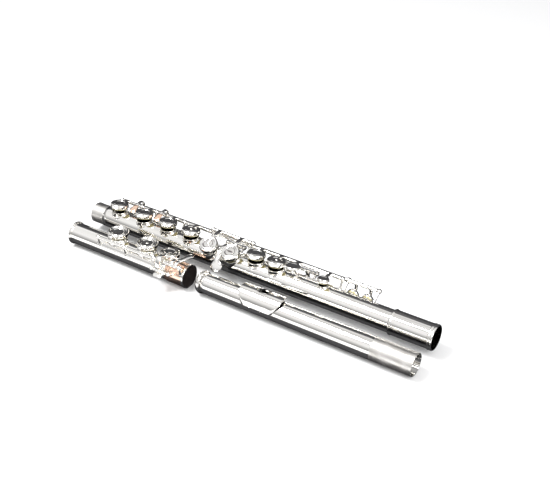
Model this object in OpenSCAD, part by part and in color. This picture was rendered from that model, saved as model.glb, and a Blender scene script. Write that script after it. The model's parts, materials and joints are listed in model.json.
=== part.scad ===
// Concert flute taken apart in its three sections, which lie side by side on one surface.
// Each tube has a frame of its own: x along the tube, y to the back, z up, origin on its axis.
// A station is a distance along a tube, and a clock angle tips +z towards the front (-y).

/* [Tubes] */
// Outer radius of the body and foot tubes
tube_r = 9.9; // [9.6:0.1:10.6]
// Wall of the tubes
tube_wall = 0.4; // [0.35:0.05:0.7]
// Length of the body section
body_length = 354; // [350:1:370]
// Length of the foot joint
foot_length = 133; // [133:1:140]
// Length of the head joint with its crown
head_length = 209; // [200:1:225]
// How much slimmer the head tube is at the crown than the body
head_taper = 0.7; // [0.4:0.1:0.9]

/* [Layout] */
// Height of the body axis above the surface
body_height = 16; // [16:0.1:24]
// Distance between the two rows of tubes
row_gap = 32.2; // [31:0.1:40]
// Distance from the middle to the crown's end of the head joint
crown_offset = 33.6; // [30:0.1:36]
// Turn of the foot joint about its axis, towards the back
foot_roll = 10; // [0:1:14]

/* [Tenons and sockets] */
// How much slimmer the tenon that takes the foot joint is than the tube
foot_tenon_step = 0.3; // [0.2:0.01:0.35]
// Length of the tenon that takes the foot joint
foot_tenon_length = 13; // [11:0.5:14]
// Length of the head joint's tenon
head_tenon_length = 37; // [34:1:38]
// Length of the barrel that takes the head joint
barrel_length = 39; // [38:1:42]
// Radial play of a tenon in its socket
socket_play = 0.02; // [0.01:0.01:0.04]
// Wall of the barrel and of the foot socket
socket_wall = 0.8; // [0.7:0.05:1.0]

/* [Tone holes and cups] */
// Rise of the tone holes' rims above the tube
rim_rise = 2; // [1.8:0.1:2.4]
// Wall of a tone hole's chimney
chimney_wall = 0.5; // [0.4:0.05:0.7]
// Radius of the large cups on the body
cup_r = 8.5; // [8.3:0.1:8.7]
// Radius of the cups on the foot joint
foot_cup_r = 9.6; // [9.4:0.1:9.8]
// Height of a cup
cup_height = 4.2; // [3.8:0.1:4.4]
// Sheet that cups, plates and touches are made of
sheet = 1.1; // [0.9:0.1:1.2]
// How far a pad stands out of its cup
pad_proud = 1; // [0.8:0.1:1.2]
// Gap between a closed pad and its rim
pad_gap = 0.05; // [0.03:0.01:0.1]

/* [Key rods] */
// Radius of the steels that the keys turn on
steel_r = 0.95; // [0.9:0.01:1.05]
// Radial play of a hinge tube on its steel
hinge_play = 0.05; // [0.02:0.01:0.08]
// Outer radius of a hinge tube
hinge_r = 1.7; // [1.6:0.05:1.75]
// Radius of the ball on a post
ball_r = 2.1; // [2:0.05:2.2]
// Radius of a post's shank
post_r = 1.1; // [0.9:0.1:1.2]
// Thickness of the ribs that carry the posts
rib_thick = 1; // [0.8:0.1:1.2]
// Width of the ribs
rib_width = 3.6; // [3:0.1:3.8]

/* [Key travel] */
// Angle that a standing-open key turns to close
open_turn = 10.5; // [9:0.5:11]
// Angle that the open keys of the foot joint turn to close
foot_open_turn = 8; // [7:0.5:9]
// Angle that the offset keys turn to close
offset_turn = 6.5; // [6:0.5:7]
// Angle of the thumb keys at rest
thumb_turn = 10; // [8:0.5:10.5]

/* [Hidden] */
$fn = 64;
eps = 0.01;
silver = [0.86, 0.86, 0.87];
satin = [0.74, 0.72, 0.68];
peach = [0.9, 0.68, 0.55];
skin = [0.78, 0.74, 0.52];
steel = [0.62, 0.64, 0.66];
cork = [0.72, 0.5, 0.3];

// Where the tubes lie
front_height = 10.9;
front_reach = 55.26;
back_reach = 21.12;
body_y = (front_reach - back_reach) / 2;
front_y = body_y - row_gap;
body_x = -body_length / 2;
foot_x = body_x + 0.5;
head_x = -crown_offset;
bore_r = tube_r - tube_wall;

// Rods as [y, z] from the axis of their tube
rim_height = tube_r + rim_rise;
main_rod = [tube_r + 3.5, rim_height + 1.4];
offset_rod = main_rod + [-0.4, 2 * hinge_r + 0.5];
trill_rod = main_rod + [4, -2.4];
lower_rod = [tube_r + 8.5, 4.6];
foot_rod = [-tube_r - 2.7, rim_height + 0.3];
foot_side_rod = foot_rod + [-2.9, -8.1];
c_roller = foot_rod + [7.7, 2.4];
d_roller = foot_side_rod + [-3.9, 2.3];
arm_height = rim_height + 3.7;
hinge_hole = steel_r + hinge_play;
tube_gap = ball_r + 0.1;
rib_clock = -57;
foot_rib_clock = 66;
rib_top = tube_r + rib_thick;

// Stations of the keys, in the order foot to barrel
d_at = 29;
e_at = 58.3;
f_at = 86.1;
f_sharp_at = 112.2;
low_g_at = 136.9;
g_at = 160.3;
g_sharp_at = 150;
g_lever_at = 148.6;
a_at = 182.3;
b_flat_at = 203;
c_touch_at = 219.5;
thumb_at = 222.6;
c_at = 249.5;
d_trill_at = 271;
d_sharp_trill_at = 285;
offset_clock = 27;
g_sharp_clock = -125;
thumb_clock = -115;
thumb_low = -tube_r - 1.9;
trill_clock = -85;
d_touch_at = 71.4;
d_sharp_touch_at = 43;
d_tube = [d_touch_at - 2.4, d_trill_at + 6];
sleeve_gap = 0.3;
main_post_at = [21, 45.5, 62.5, 95, 128, 171, 191, 213.5, 261];
offset_post_at = [main_post_at[4], main_post_at[5]];
trill_post_at = [37.5, 264.5, 293.5];
lower_post_at = [139.5, 157.5, 198.5, 233];

// Cups, and how far a tone hole's rim lies inside its cup
rim_inset = 1.4;
small_cup_r = 5.3;
g_sharp_cup_r = 7.6;
thumb_cup_r = 7.2;
small_rim = rim_height - 0.5;
small_cup_height = cup_height - 1;

// Foot joint, from its open end
foot_c_at = 51.8;
foot_c_sharp_at = 85.6;
foot_d_sharp_at = 110.5;
foot_d_sharp_cup_r = foot_cup_r - 0.6;
foot_post_at = [38.6, 69.1, 103.1, 130.5];
foot_side_post_at = [103.1, 121.5];
roller_pin_r = 0.5;
foot_tenon_r = tube_r - foot_tenon_step;
foot_socket_depth = foot_tenon_length + 1;
tenon_shoulder = 0.8;
foot_socket_length = foot_socket_depth + 6;
foot_tube_length = foot_length - foot_socket_depth;
foot_socket_r = foot_tenon_r + socket_play + socket_wall + 0.1;
foot_rib_end = foot_length - foot_socket_length - 0.5;
foot_bead = [2, 0.35];
c_sharp_tube_end = foot_post_at[3] - 6.3;

// Head joint, from the crown's end
embouchure_at = 66.5;
embouchure_clock = -20;
embouchure_r = 5.1;
embouchure_slot = 2;
crown_length = 8;
head_small_r = tube_r - head_taper;
head_bore_small = head_small_r - 0.6;
head_bore_large = bore_r - 0.1;
head_sleeve = 0.2;
plate_length = 41.5;
plate_r = tube_r + 1.5;
plate_centre = [1, 1.8];
stopper_face = embouchure_at - 17;
stopper_play = 0.06;
stopper_screw_r = 1.5;

// Height of a closed cup's lower edge above the rim that its pad rests on
function pad_seat() = pad_gap + pad_proud;

// Point i of a path moved sideways by d, on the mean normal of its two neighbours
function moved(path, i, d) =
    let (a = path[max(i - 1, 0)], b = path[min(i + 1, len(path) - 1)], n = norm(b - a))
    path[i] + d * [a[1] - b[1], b[0] - a[0]] / n;

// ---------------------------------------------------------------- places
module on_body() {
    translate([body_x, body_y, body_height]) children();
}

module on_foot() {
    translate([foot_x, front_y, front_height]) rotate([-foot_roll, 0, 0]) children();
}

module on_head() {
    translate([head_x, front_y, front_height]) children();
}

// Turns its children about a rod that runs along x
module turned(rod, angle) {
    translate([0, rod[0], rod[1]]) rotate([angle, 0, 0]) translate([0, -rod[0], -rod[1]]) children();
}

// Stands its children on a clock angle at a station
module at_clock(station, clock) {
    translate([station, 0, 0]) rotate([clock, 0, 0]) children();
}

// ---------------------------------------------------------------- shapes
module along_x(from, to, r, r_end = 0) {
    translate([from, 0, 0]) rotate([0, 90, 0]) cylinder(h = to - from, r1 = r, r2 = r_end > 0 ? r_end : r);
}

module hinge_tube(rod, from, to, hole = hinge_hole, r = hinge_r) {
    translate([0, rod[0], rod[1]]) difference() {
        along_x(from, to, r);
        along_x(from - 1, to + 1, hole);
    }
}

module solid_rod(rod, from, to, r = steel_r) {
    translate([0, rod[0], rod[1]]) along_x(from, to, r);
}

// A bent bar of even thickness, its path given as [y, z] points
module bar(path, thick, width, station) {
    last = len(path) - 1;
    upper = [for (i = [0:last]) moved(path, i, thick / 2)];
    lower = [for (i = [last:-1:0]) moved(path, i, -thick / 2)];
    translate([station - width / 2, 0, 0]) rotate([90, 0, 90])
        linear_extrude(width) polygon(concat(upper, lower));
}

// A cup with a rounded edge, a step ring and a dished middle, closed over a rim at z = 0
module cup(r, height, dish = 0.6) {
    wall = 1;
    translate([0, 0, pad_seat()]) rotate_extrude() polygon([
        [0, height - sheet - dish], [0, height - dish], [0.57 * r, height - dish],
        [0.62 * r, height], [r - 0.9, height], [r - 0.25, height - 0.35], [r, height - 1],
        [r, 0.5], [r - 0.4, 0], [r - wall, 0], [r - wall, height - sheet - dish]
    ]);
}

// The pad of that cup, a washer of felt in skin
module pad(r, height, dish = 0.6) {
    top = pad_seat() + height - sheet - dish;
    translate([0, 0, pad_gap]) rotate_extrude() polygon([
        [0, 0], [r - rim_inset, 0], [r - 1.1, 0.3], [r - 1.1, top - pad_gap], [0, top - pad_gap]
    ]);
}

// A pointed arm that reaches over a cup to its middle
module pointed_arm(r, height) {
    top = pad_seat() + height - eps;
    translate([0, 0, top - 0.6]) linear_extrude(1.4)
        polygon([[-2.2, r + 1], [-1.1, 0], [0, -1.6], [1.1, 0], [2.2, r + 1]]);
}

module chimney(station, clock, r, rim) {
    at_clock(station, clock) translate([0, 0, tube_r / 2]) cylinder(h = rim - tube_r / 2, r = r);
}

module chimney_hole(station, clock, r, rim) {
    at_clock(station, clock) translate([0, 0, 1]) cylinder(h = rim, r = r - chimney_wall);
}

// A ball post from a foot point to a rod, both [y, z]
module post(station, foot, rod, hole = steel_r, ball = ball_r) {
    lean = atan2(rod[0] - foot[0], rod[1] - foot[1]);
    reach = norm(rod - foot);
    translate([station, foot[0], foot[1]]) rotate([-lean, 0, 0]) difference() {
        union() {
            translate([0, 0, -0.6]) cylinder(h = 1.4, r = post_r + 0.5);
            translate([0, 0, -0.6]) cylinder(h = reach + 0.6, r = post_r);
            translate([0, 0, reach]) sphere(r = ball);
        }
        translate([-ball - 1, 0, reach]) rotate([0, 90, 0]) cylinder(h = 2 * ball + 2, r = hole);
    }
}

function on_rim(clock, r) = [-r * sin(clock), r * cos(clock)];

// Point at height h over the tube's axis on a clock angle, and d towards the back from there
function tipped(clock, d, h) = on_rim(clock, h) + d * [cos(clock), sin(clock)];

module rib(from, to, clock) {
    rotate([clock, 0, 0]) intersection() {
        difference() {
            along_x(from, to, rib_top);
            along_x(from - 1, to + 1, tube_r);
        }
        translate([from - 1, -rib_width / 2, 0]) cube([to - from + 2, rib_width, rib_top + 1]);
    }
}

// A rounded touch, wide at its tip, drawn in its own plane from the neck at the origin
module touch_plate(length, neck, tip_r, thick = sheet) {
    translate([0, 0, -thick / 2]) linear_extrude(thick) union() {
        translate([0, length - tip_r]) circle(tip_r);
        polygon([[-neck / 2, 0], [neck / 2, 0], [tip_r - 0.1, length - tip_r], [0.1 - tip_r, length - tip_r]]);
    }
}

// ---------------------------------------------------------------- body section
line_hole_r = cup_r - rim_inset;
foot_hole_r = foot_cup_r - rim_inset;
small_hole_r = small_cup_r - rim_inset;
body_holes = [
    [d_at, 0, line_hole_r, rim_height], [e_at, 0, line_hole_r, rim_height],
    [f_at, 0, line_hole_r, rim_height], [f_sharp_at, 0, line_hole_r, rim_height],
    [low_g_at, offset_clock, line_hole_r, rim_height], [g_at, offset_clock, line_hole_r, rim_height],
    [g_sharp_at, g_sharp_clock, g_sharp_cup_r - rim_inset, rim_height],
    [a_at, 0, line_hole_r, rim_height], [b_flat_at, 0, line_hole_r, rim_height],
    [thumb_at, thumb_clock, thumb_cup_r - rim_inset, rim_height],
    [c_at, 0, small_hole_r, small_rim], [d_trill_at, trill_clock, small_hole_r, small_rim],
    [d_sharp_trill_at, trill_clock, small_hole_r, small_rim]
];
foot_holes = [
    [foot_c_at, 0, foot_hole_r, rim_height], [foot_c_sharp_at, 0, foot_hole_r, rim_height],
    [foot_d_sharp_at, 0, foot_d_sharp_cup_r - rim_inset, rim_height]
];

module holed_tube(from, to, holes) {
    difference() {
        union() {
            along_x(from, to, tube_r);
            for (h = holes) chimney(h[0], h[1], h[2], h[3]);
        }
        along_x(from - 1, to + 1, bore_r);
        for (h = holes) chimney_hole(h[0], h[1], h[2], h[3]);
    }
}

// A groove at the bottom of a socket leaves room for the corner of the tenon
relief_width = 1.5;
relief_depth = 0.4;
barrel_lap = 8;
bead_width = 2;
barrel_seat = body_length - barrel_length + barrel_lap;

module body_tube() {
    color(silver) on_body() holed_tube(foot_tenon_length + tenon_shoulder, barrel_seat, body_holes);
}

module foot_tenon() {
    shoulder_end = foot_tenon_length + tenon_shoulder;
    color(satin) on_body() difference() {
        union() {
            along_x(0, foot_tenon_length, foot_tenon_r);
            along_x(foot_tenon_length - eps, shoulder_end, tube_r);
        }
        along_x(-1, shoulder_end + 1, bore_r - tube_wall);
    }
}

module barrel() {
    outer = tube_r + socket_play + socket_wall;
    start = body_length - barrel_length;
    color(silver) on_body() difference() {
        union() {
            along_x(start, body_length, outer);
            for (at = [start, body_length - bead_width, body_length - 2.2 * bead_width])
                along_x(at, at + bead_width, outer + 0.5);
        }
        along_x(barrel_seat - eps, body_length + 1, tube_r + socket_play);
        along_x(barrel_seat - eps, barrel_seat + relief_width, tube_r + relief_depth);
        along_x(start - 1, barrel_seat, tube_r);
    }
}

module main_rib() {
    color(silver) on_body() rib(main_post_at[0] - 4, trill_post_at[1] + 2, rib_clock);
}

module main_posts() {
    foot = on_rim(rib_clock, rib_top);
    color(silver) on_body() difference() {
        union() {
            for (s = main_post_at) post(s, foot, main_rod);
            for (s = offset_post_at) difference() {
                post(s, main_rod, offset_rod);
                translate([0, main_rod[0], main_rod[1]]) along_x(s - 4, s + 4, steel_r);
            }
        }
        rotate([rib_clock, 0, 0]) along_x(0, body_length, rib_top);
    }
}

module trill_posts() {
    foot = on_rim(-58, rib_top);
    color(silver) on_body() difference() {
        union() {
            post(trill_post_at[0], foot, trill_rod, hinge_hole);
            post(trill_post_at[1], foot, trill_rod, hinge_r + hinge_play, ball_r + 0.5);
            post(trill_post_at[2], on_rim(-58, tube_r), trill_rod, hinge_hole);
        }
        along_x(0, trill_post_at[1] + 2, rib_top);
        along_x(0, body_length, tube_r);
    }
}

module lower_posts() {
    color(silver) on_body() difference() {
        for (s = lower_post_at) post(s, on_rim(-79, tube_r), lower_rod);
        along_x(0, body_length, tube_r);
    }
}

// Two steels on the main line that meet in a post, and one each for the offset, G sharp and thumb keys
module key_steels() {
    meet = main_post_at[4];
    past = 2;
    color(steel) on_body() {
        solid_rod(main_rod, main_post_at[0] - past, meet - 0.1);
        solid_rod(main_rod, meet + 0.1, main_post_at[8] + past);
        solid_rod(offset_rod, offset_post_at[0] - past, offset_post_at[1] + past);
        for (pair = [0, 2]) solid_rod(lower_rod, lower_post_at[pair] - past, lower_post_at[pair + 1] + past);
    }
}

// One needle from each main post, below the hinge tubes and clear of the arms
module needle_springs() {
    needle_r = 0.3;
    foot = on_rim(rib_clock, rib_top);
    seat = foot + (main_rod - foot) * 0.45;
    color(steel) on_body() for (i = [0:7])
        translate([main_post_at[i], seat[0], seat[1]]) along_x(post_r, 12, needle_r);
}

// A cup on the top line with its hinge tube and arm, drawn closed
module line_key(at, from, to, pointed = false) {
    turned(main_rod, -open_turn) {
        hinge_tube(main_rod, from, to);
        difference() {
            union() {
                bar([
                    main_rod + [-0.8, 1.2], [main_rod[0] - 2.8, arm_height], [cup_r - 0.7, arm_height]
                ], 2, 4, at);
                if (pointed) translate([at, 0, rim_height]) pointed_arm(cup_r, cup_height);
            }
            translate([0, main_rod[0], main_rod[1]]) along_x(from, to, hinge_hole);
        }
        translate([at, 0, rim_height]) cup(cup_r, cup_height);
    }
}

module line_pad(at) {
    turned(main_rod, -open_turn) translate([at, 0, rim_height]) pad(cup_r, cup_height);
}

module d_key() {
    color(silver) on_body() line_key(d_at, main_post_at[0] + tube_gap, main_post_at[1] - tube_gap);
}

module e_key() {
    color(silver) on_body() line_key(e_at, main_post_at[1] + tube_gap, main_post_at[2] - tube_gap);
}

module f_key() {
    color(silver) on_body() line_key(f_at, main_post_at[2] + tube_gap, main_post_at[3] - tube_gap);
}

module f_sharp_key() {
    color(silver) on_body()
        line_key(f_sharp_at, main_post_at[3] + tube_gap, main_post_at[4] - tube_gap, true);
}

module a_key() {
    color(silver) on_body() line_key(a_at, main_post_at[5] + tube_gap, main_post_at[6] - tube_gap);
}

module b_flat_key() {
    color(silver) on_body()
        line_key(b_flat_at, main_post_at[6] + tube_gap, main_post_at[7] - tube_gap, true);
}

// Finger plate near the top of the left hand, and the small cup that its tube works
module c_key() {
    plate_r = 6.5;
    plate_height = rim_height + 2.7;
    plate_arm = [[main_rod[0] - 4.4, plate_height + 1.4], [plate_r - 1, plate_height + 1.4]];
    cup_arm = [[main_rod[0] - 4.4, small_rim + 3.4], [small_cup_r - 0.7, small_rim + 3.4]];
    color(silver) on_body() turned(main_rod, -open_turn) {
        hinge_tube(main_rod, main_post_at[7] + tube_gap, main_post_at[8] - tube_gap);
        difference() {
            union() {
                bar(concat([main_rod + [-0.8, 1.2]], plate_arm), 2, 4, c_touch_at);
                bar(concat([main_rod + [-0.8, 1.2]], cup_arm), 1.6, 3, c_at);
            }
            translate([0, main_rod[0], main_rod[1]]) along_x(c_touch_at - 4, c_at + 4, hinge_hole);
        }
        translate([c_touch_at, 0, plate_height]) rotate_extrude() polygon([
            [0, 0], [plate_r - 0.6, 0], [plate_r, 0.7], [plate_r, 1.8], [plate_r - 0.6, 2.4],
            [plate_r - 1.9, 2.4], [plate_r - 2.3, 1.9], [0, 1.9]
        ]);
        translate([c_at, 0, small_rim]) cup(small_cup_r, small_cup_height, 0.3);
    }
}

// Tube that carries the right hand's motion past the offset keys to the left hand
module bridge_lever() {
    from = main_post_at[4] + tube_gap;
    to = main_post_at[5] - tube_gap;
    color(silver) on_body() {
        hinge_tube(main_rod, from, to);
        difference() {
            for (s = [from + 2, to - 2]) bar([main_rod + [0, -1], main_rod + [-1.6, -2.4]], 1.4, 3, s);
            translate([0, main_rod[0], main_rod[1]]) along_x(from, to, hinge_hole);
        }
    }
}

module offset_g_key() {
    arm = [
        offset_rod + [-0.8, 0.9], offset_rod + [-5, 1.7],
        tipped(offset_clock, cup_r + 2.48, rim_height + 3.04),
        tipped(offset_clock, cup_r - 0.65, rim_height + 3.18)
    ];
    color(silver) on_body() turned(offset_rod, -offset_turn) {
        hinge_tube(offset_rod, offset_post_at[0] + tube_gap, offset_post_at[1] - tube_gap);
        difference() {
            for (s = [low_g_at, g_at]) bar(arm, 1.8, 3.6, s);
            translate([0, offset_rod[0], offset_rod[1]])
                along_x(offset_post_at[0], offset_post_at[1], hinge_hole);
        }
        for (s = [low_g_at, g_at]) at_clock(s, offset_clock) translate([0, 0, rim_height])
            cup(cup_r, cup_height);
        at_clock(low_g_at, offset_clock) translate([0, 0, rim_height]) pointed_arm(cup_r - 1, cup_height);
    }
}

module offset_g_pads() {
    color(skin) on_body() turned(offset_rod, -offset_turn) for (s = [low_g_at, g_at])
        at_clock(s, offset_clock) translate([0, 0, rim_height]) pad(cup_r, cup_height);
}

// Arm from the trill rod over the main rod to a touch between the cups
module trill_touch(at) {
    over = [main_rod + [2.2, 4.3], main_rod + [-2.4, 4.7], main_rod + [-5, 4.1]];
    bar(concat([trill_rod + [0.4, 1.2], trill_rod + [0.6, 3.6]], over), 1.4, 2.6, at);
    translate([at, main_rod[0] - 4.6, main_rod[1] + 3.9]) rotate([-20, 0, 180]) touch_plate(9.5, 4.4, 3.4);
}

// Arm from the trill rod down to a small cup on the back of the tube
module trill_cup(at) {
    down = [[trill_rod[0] + 1.5, 7], [small_rim + 6.7, 3], [small_rim + 4.2, 1.6]];
    bar(concat([trill_rod + [0.4, -1.2]], down), 1.4, 2.6, at);
    at_clock(at, trill_clock) translate([0, 0, small_rim]) cup(small_cup_r, small_cup_height, 0);
}

// Touch and cup of the D trill, soldered on the tube that joins them
module d_trill_key() {
    color(silver) on_body() difference() {
        union() {
            trill_touch(d_touch_at);
            trill_cup(d_trill_at);
        }
        solid_rod(trill_rod, d_tube[0] - 1, d_tube[1] + 1, hinge_r);
    }
}

module d_trill_tube() {
    color(silver) on_body() hinge_tube(trill_rod, d_tube[0], d_tube[1]);
}

// Touch and cup of the D sharp trill, each on a sleeve that is pinned to the rod
module d_sharp_trill_key() {
    color(silver) on_body() difference() {
        union() {
            solid_rod(trill_rod, trill_post_at[0] + tube_gap, d_tube[0] - sleeve_gap, hinge_r);
            solid_rod(trill_rod, d_tube[1] + sleeve_gap, trill_post_at[2] - tube_gap, hinge_r);
            trill_touch(d_sharp_touch_at);
            trill_cup(d_sharp_trill_at);
        }
        solid_rod(trill_rod, trill_post_at[0], trill_post_at[2]);
    }
}

module d_sharp_trill_rod() {
    color(steel) on_body() solid_rod(trill_rod, trill_post_at[0] - 2, trill_post_at[2] + 2);
}

module g_sharp_key() {
    lever_r = tube_r + 4.3;
    path = concat([lower_rod + [-1.2, 0.6]], [for (c = [-62:14:64]) on_rim(c, lever_r)]);
    neck = on_rim(58, lever_r);
    cup_arm = [
        lower_rod + [0.6, -1.2], lower_rod + [0.9, -6.1],
        tipped(g_sharp_clock, -5.1, rim_height + 6.74), tipped(g_sharp_clock, -1, rim_height + 5.22)
    ];
    color(silver) on_body() {
        hinge_tube(lower_rod, lower_post_at[0] + tube_gap, lower_post_at[1] - tube_gap);
        difference() {
            union() {
                bar(path, 1.6, 2.4, g_lever_at);
                bar(cup_arm, 1.6, 4, g_sharp_at);
            }
            translate([0, lower_rod[0], lower_rod[1]])
                along_x(lower_post_at[0], lower_post_at[1], hinge_hole);
        }
        translate([g_lever_at, neck[0] + 1, neck[1] + 1.6]) rotate([-50, 0, 180]) rotate([0, 0, 18])
            touch_plate(13.5, 3.4, 6.2, 1.5);
        at_clock(g_sharp_at, g_sharp_clock) translate([0, 0, rim_height]) cup(g_sharp_cup_r, cup_height);
    }
}

module thumb_b_key() {
    cup_arm = [
        lower_rod + [0.4, -1.3], lower_rod + [1.2, -4.6],
        tipped(thumb_clock, -4.05, rim_height + 6.73), tipped(thumb_clock, -0.16, rim_height + 5)
    ];
    color(silver) on_body() turned(lower_rod, thumb_turn) {
        hinge_tube(lower_rod, thumb_at - 8, lower_post_at[3] - tube_gap);
        difference() {
            union() {
                bar(cup_arm, 1.5, 4, thumb_at);
                bar([
                    [12.3, thumb_low - 0.8], [9.4, thumb_low - 1.4], [6.4, thumb_low - 1.2], [3.2, thumb_low]
                ], sheet, 11, thumb_at);
            }
            translate([0, lower_rod[0], lower_rod[1]]) along_x(thumb_at - 8, thumb_at + 9, hinge_hole);
        }
        at_clock(thumb_at, thumb_clock) translate([0, 0, rim_height]) cup(thumb_cup_r, cup_height);
    }
}

module thumb_b_flat_lever() {
    from = lower_post_at[2] + tube_gap;
    to = thumb_at - 8.2;
    middle = (from + to) / 2;
    color(silver) on_body() turned(lower_rod, thumb_turn) {
        hinge_tube(lower_rod, from, to);
        difference() {
            bar([
                lower_rod + [0, -1.3], lower_rod + [-1.2, -6.6], lower_rod + [-4.2, -12.6],
                [10, thumb_low - 0.4], [6.4, thumb_low - 1.2], [3.2, thumb_low]
            ], 1.5, 8, middle);
            translate([0, lower_rod[0], lower_rod[1]]) along_x(from, to, hinge_hole);
        }
    }
}

module d_pad() {
    color(skin) on_body() line_pad(d_at);
}

module e_pad() {
    color(skin) on_body() line_pad(e_at);
}

module f_pad() {
    color(skin) on_body() line_pad(f_at);
}

module f_sharp_pad() {
    color(skin) on_body() line_pad(f_sharp_at);
}

module a_pad() {
    color(skin) on_body() line_pad(a_at);
}

module b_flat_pad() {
    color(skin) on_body() line_pad(b_flat_at);
}

module c_pad() {
    color(skin) on_body() turned(main_rod, -open_turn)
        translate([c_at, 0, small_rim]) pad(small_cup_r, small_cup_height, 0.3);
}

module d_trill_pad() {
    color(skin) on_body() at_clock(d_trill_at, trill_clock)
        translate([0, 0, small_rim]) pad(small_cup_r, small_cup_height, 0);
}

module d_sharp_trill_pad() {
    color(skin) on_body() at_clock(d_sharp_trill_at, trill_clock)
        translate([0, 0, small_rim]) pad(small_cup_r, small_cup_height, 0);
}

module g_sharp_pad() {
    color(skin) on_body() at_clock(g_sharp_at, g_sharp_clock)
        translate([0, 0, rim_height]) pad(g_sharp_cup_r, cup_height);
}

module thumb_b_pad() {
    color(skin) on_body() turned(lower_rod, thumb_turn) at_clock(thumb_at, thumb_clock)
        translate([0, 0, rim_height]) pad(thumb_cup_r, cup_height);
}

// ---------------------------------------------------------------- head joint
tube_start = crown_length - 1.4;
sleeve_start = head_length - head_tenon_length;

module embouchure_slot(r, depth) {
    at_clock(embouchure_at, embouchure_clock) {
        for (side = [-1, 1]) translate([side * embouchure_slot / 2, 0, 3]) cylinder(h = depth, r = r);
        translate([-embouchure_slot / 2, -r, 3]) cube([embouchure_slot, 2 * r, depth]);
    }
}

module head_tube() {
    color(silver) on_head() difference() {
        union() {
            along_x(tube_start, sleeve_start, head_small_r, tube_r);
            along_x(sleeve_start, head_length, tube_r - head_sleeve);
        }
        along_x(tube_start - eps, head_length + eps, head_bore_small, head_bore_large);
        embouchure_slot(embouchure_r, 12);
    }
}

module head_tenon() {
    color(satin) on_head() difference() {
        along_x(sleeve_start, head_length, tube_r);
        along_x(sleeve_start - 1, head_length + 1, tube_r - head_sleeve);
    }
}

// Shell of the lip plate, on an axis a little above and behind the tube's
module plate_round(r) {
    translate([embouchure_at - plate_length / 2, plate_centre[0], plate_centre[1]])
        along_x(0, plate_length, r);
}

module lip_plate() {
    half = plate_length / 2;
    side = 11;
    corner = 2.6;
    outline = [for (a = [0:9:351]) [
        half * sign(cos(a)) * pow(abs(cos(a)), 2 / corner),
        side * sign(sin(a)) * pow(abs(sin(a)), 2 / corner)
    ]];
    color(silver) on_head() difference() {
        intersection() {
            plate_round(plate_r);
            at_clock(embouchure_at, 2) linear_extrude(plate_r + 4) polygon(outline);
        }
        plate_round(plate_r - sheet);
        embouchure_slot(embouchure_r, 16);
        along_x(tube_start, sleeve_start, head_small_r, tube_r);
    }
}

module embouchure_riser() {
    color(silver) on_head() difference() {
        intersection() {
            embouchure_slot(embouchure_r + sheet, 16);
            plate_round(plate_r - sheet);
        }
        embouchure_slot(embouchure_r, 16);
        along_x(tube_start, sleeve_start, head_small_r, tube_r);
    }
}

// Cap of the head joint: its skirt sits in the bore, and the stopper's screw passes its boss
module crown() {
    rim = head_small_r + 1.2;
    skirt = head_bore_small - 0.05;
    boss = stopper_screw_r + 2;
    color(silver) on_head() rotate([0, 90, 0]) difference() {
        rotate_extrude() polygon([
            [0, 0], [3.6, 0.25], [6.8, 1], [8.9, 2.3], [rim - 0.4, 4], [rim - 0.4, 4.6], [rim, 5],
            [rim, 6], [rim - 0.5, 6.5], [head_small_r, tube_start - 0.05], [skirt, tube_start - 0.05],
            [skirt, tube_start + 5], [skirt - 0.8, tube_start + 5], [skirt - 0.8, 4.4],
            [boss, 4.4], [boss, tube_start + 3], [0, tube_start + 3]
        ]);
        translate([0, 0, 1.6]) cylinder(h = 20, r = stopper_screw_r + hinge_play);
    }
}

module stopper_rod() {
    color(steel) on_head() along_x(4.2, stopper_face - 1, stopper_screw_r);
}

module stopper_cork() {
    color(cork) on_head() difference() {
        along_x(stopper_face - 15.5, stopper_face - 1.5, head_bore_small + stopper_play);
        along_x(0, stopper_face, stopper_screw_r);
    }
}

module stopper_plates() {
    color(silver) on_head() for (from = [stopper_face - 17, stopper_face - 1.5]) difference() {
        along_x(from, from + 1.5, head_bore_small - 0.2);
        along_x(from - 1, stopper_face - 1, stopper_screw_r);
    }
}

// ---------------------------------------------------------------- foot joint
module foot_tube() {
    color(silver) on_foot() holed_tube(0, foot_tube_length, foot_holes);
}

module foot_socket() {
    color(peach) on_foot() difference() {
        union() {
            along_x(foot_length - foot_socket_length, foot_length, foot_socket_r);
            along_x(foot_length - foot_bead[0], foot_length, foot_socket_r + foot_bead[1]);
        }
        along_x(foot_tube_length - eps, foot_length + 1, foot_tenon_r + socket_play);
        along_x(foot_tube_length - eps, foot_tube_length + relief_width, foot_tenon_r + relief_depth);
        along_x(foot_tube_length - 10, foot_tube_length, tube_r);
        chimney(foot_d_sharp_at, 0, foot_d_sharp_cup_r - rim_inset + 0.1, rim_height + 5);
    }
}

module foot_end_ring() {
    color(silver) on_foot() rotate([0, 90, 0]) rotate_extrude() translate([tube_r, 0]) polygon([
        [0, 0], [0.5, 0], [1, 0.5], [1, 1.3], [0.5, 1.8], [0.5, 3], [0, 3]
    ]);
}

module foot_rib() {
    color(silver) on_foot() rib(foot_post_at[0] - 4, foot_rib_end, foot_rib_clock);
}

module foot_posts() {
    foot = on_rim(foot_rib_clock, rib_top);
    color(silver) on_foot() difference() {
        union() {
            post(foot_post_at[0], foot, foot_rod, hinge_hole);
            post(foot_post_at[1], foot, foot_rod, hinge_hole);
            post(foot_post_at[2], foot, foot_rod, hinge_r + hinge_play, ball_r + 0.5);
            post(foot_post_at[3], on_rim(foot_rib_clock, foot_socket_r), foot_rod, hinge_hole);
            for (s = foot_side_post_at) post(s, on_rim(78, rib_top), foot_side_rod);
        }
        along_x(0, foot_rib_end, rib_top);
        along_x(0, foot_length, foot_socket_r);
        along_x(foot_length - foot_bead[0] - eps, foot_length, foot_socket_r + foot_bead[1]);
    }
}

module foot_steel() {
    color(steel) on_foot() solid_rod(foot_side_rod, foot_side_post_at[0] - 2, foot_side_post_at[1] + 2);
}

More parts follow.
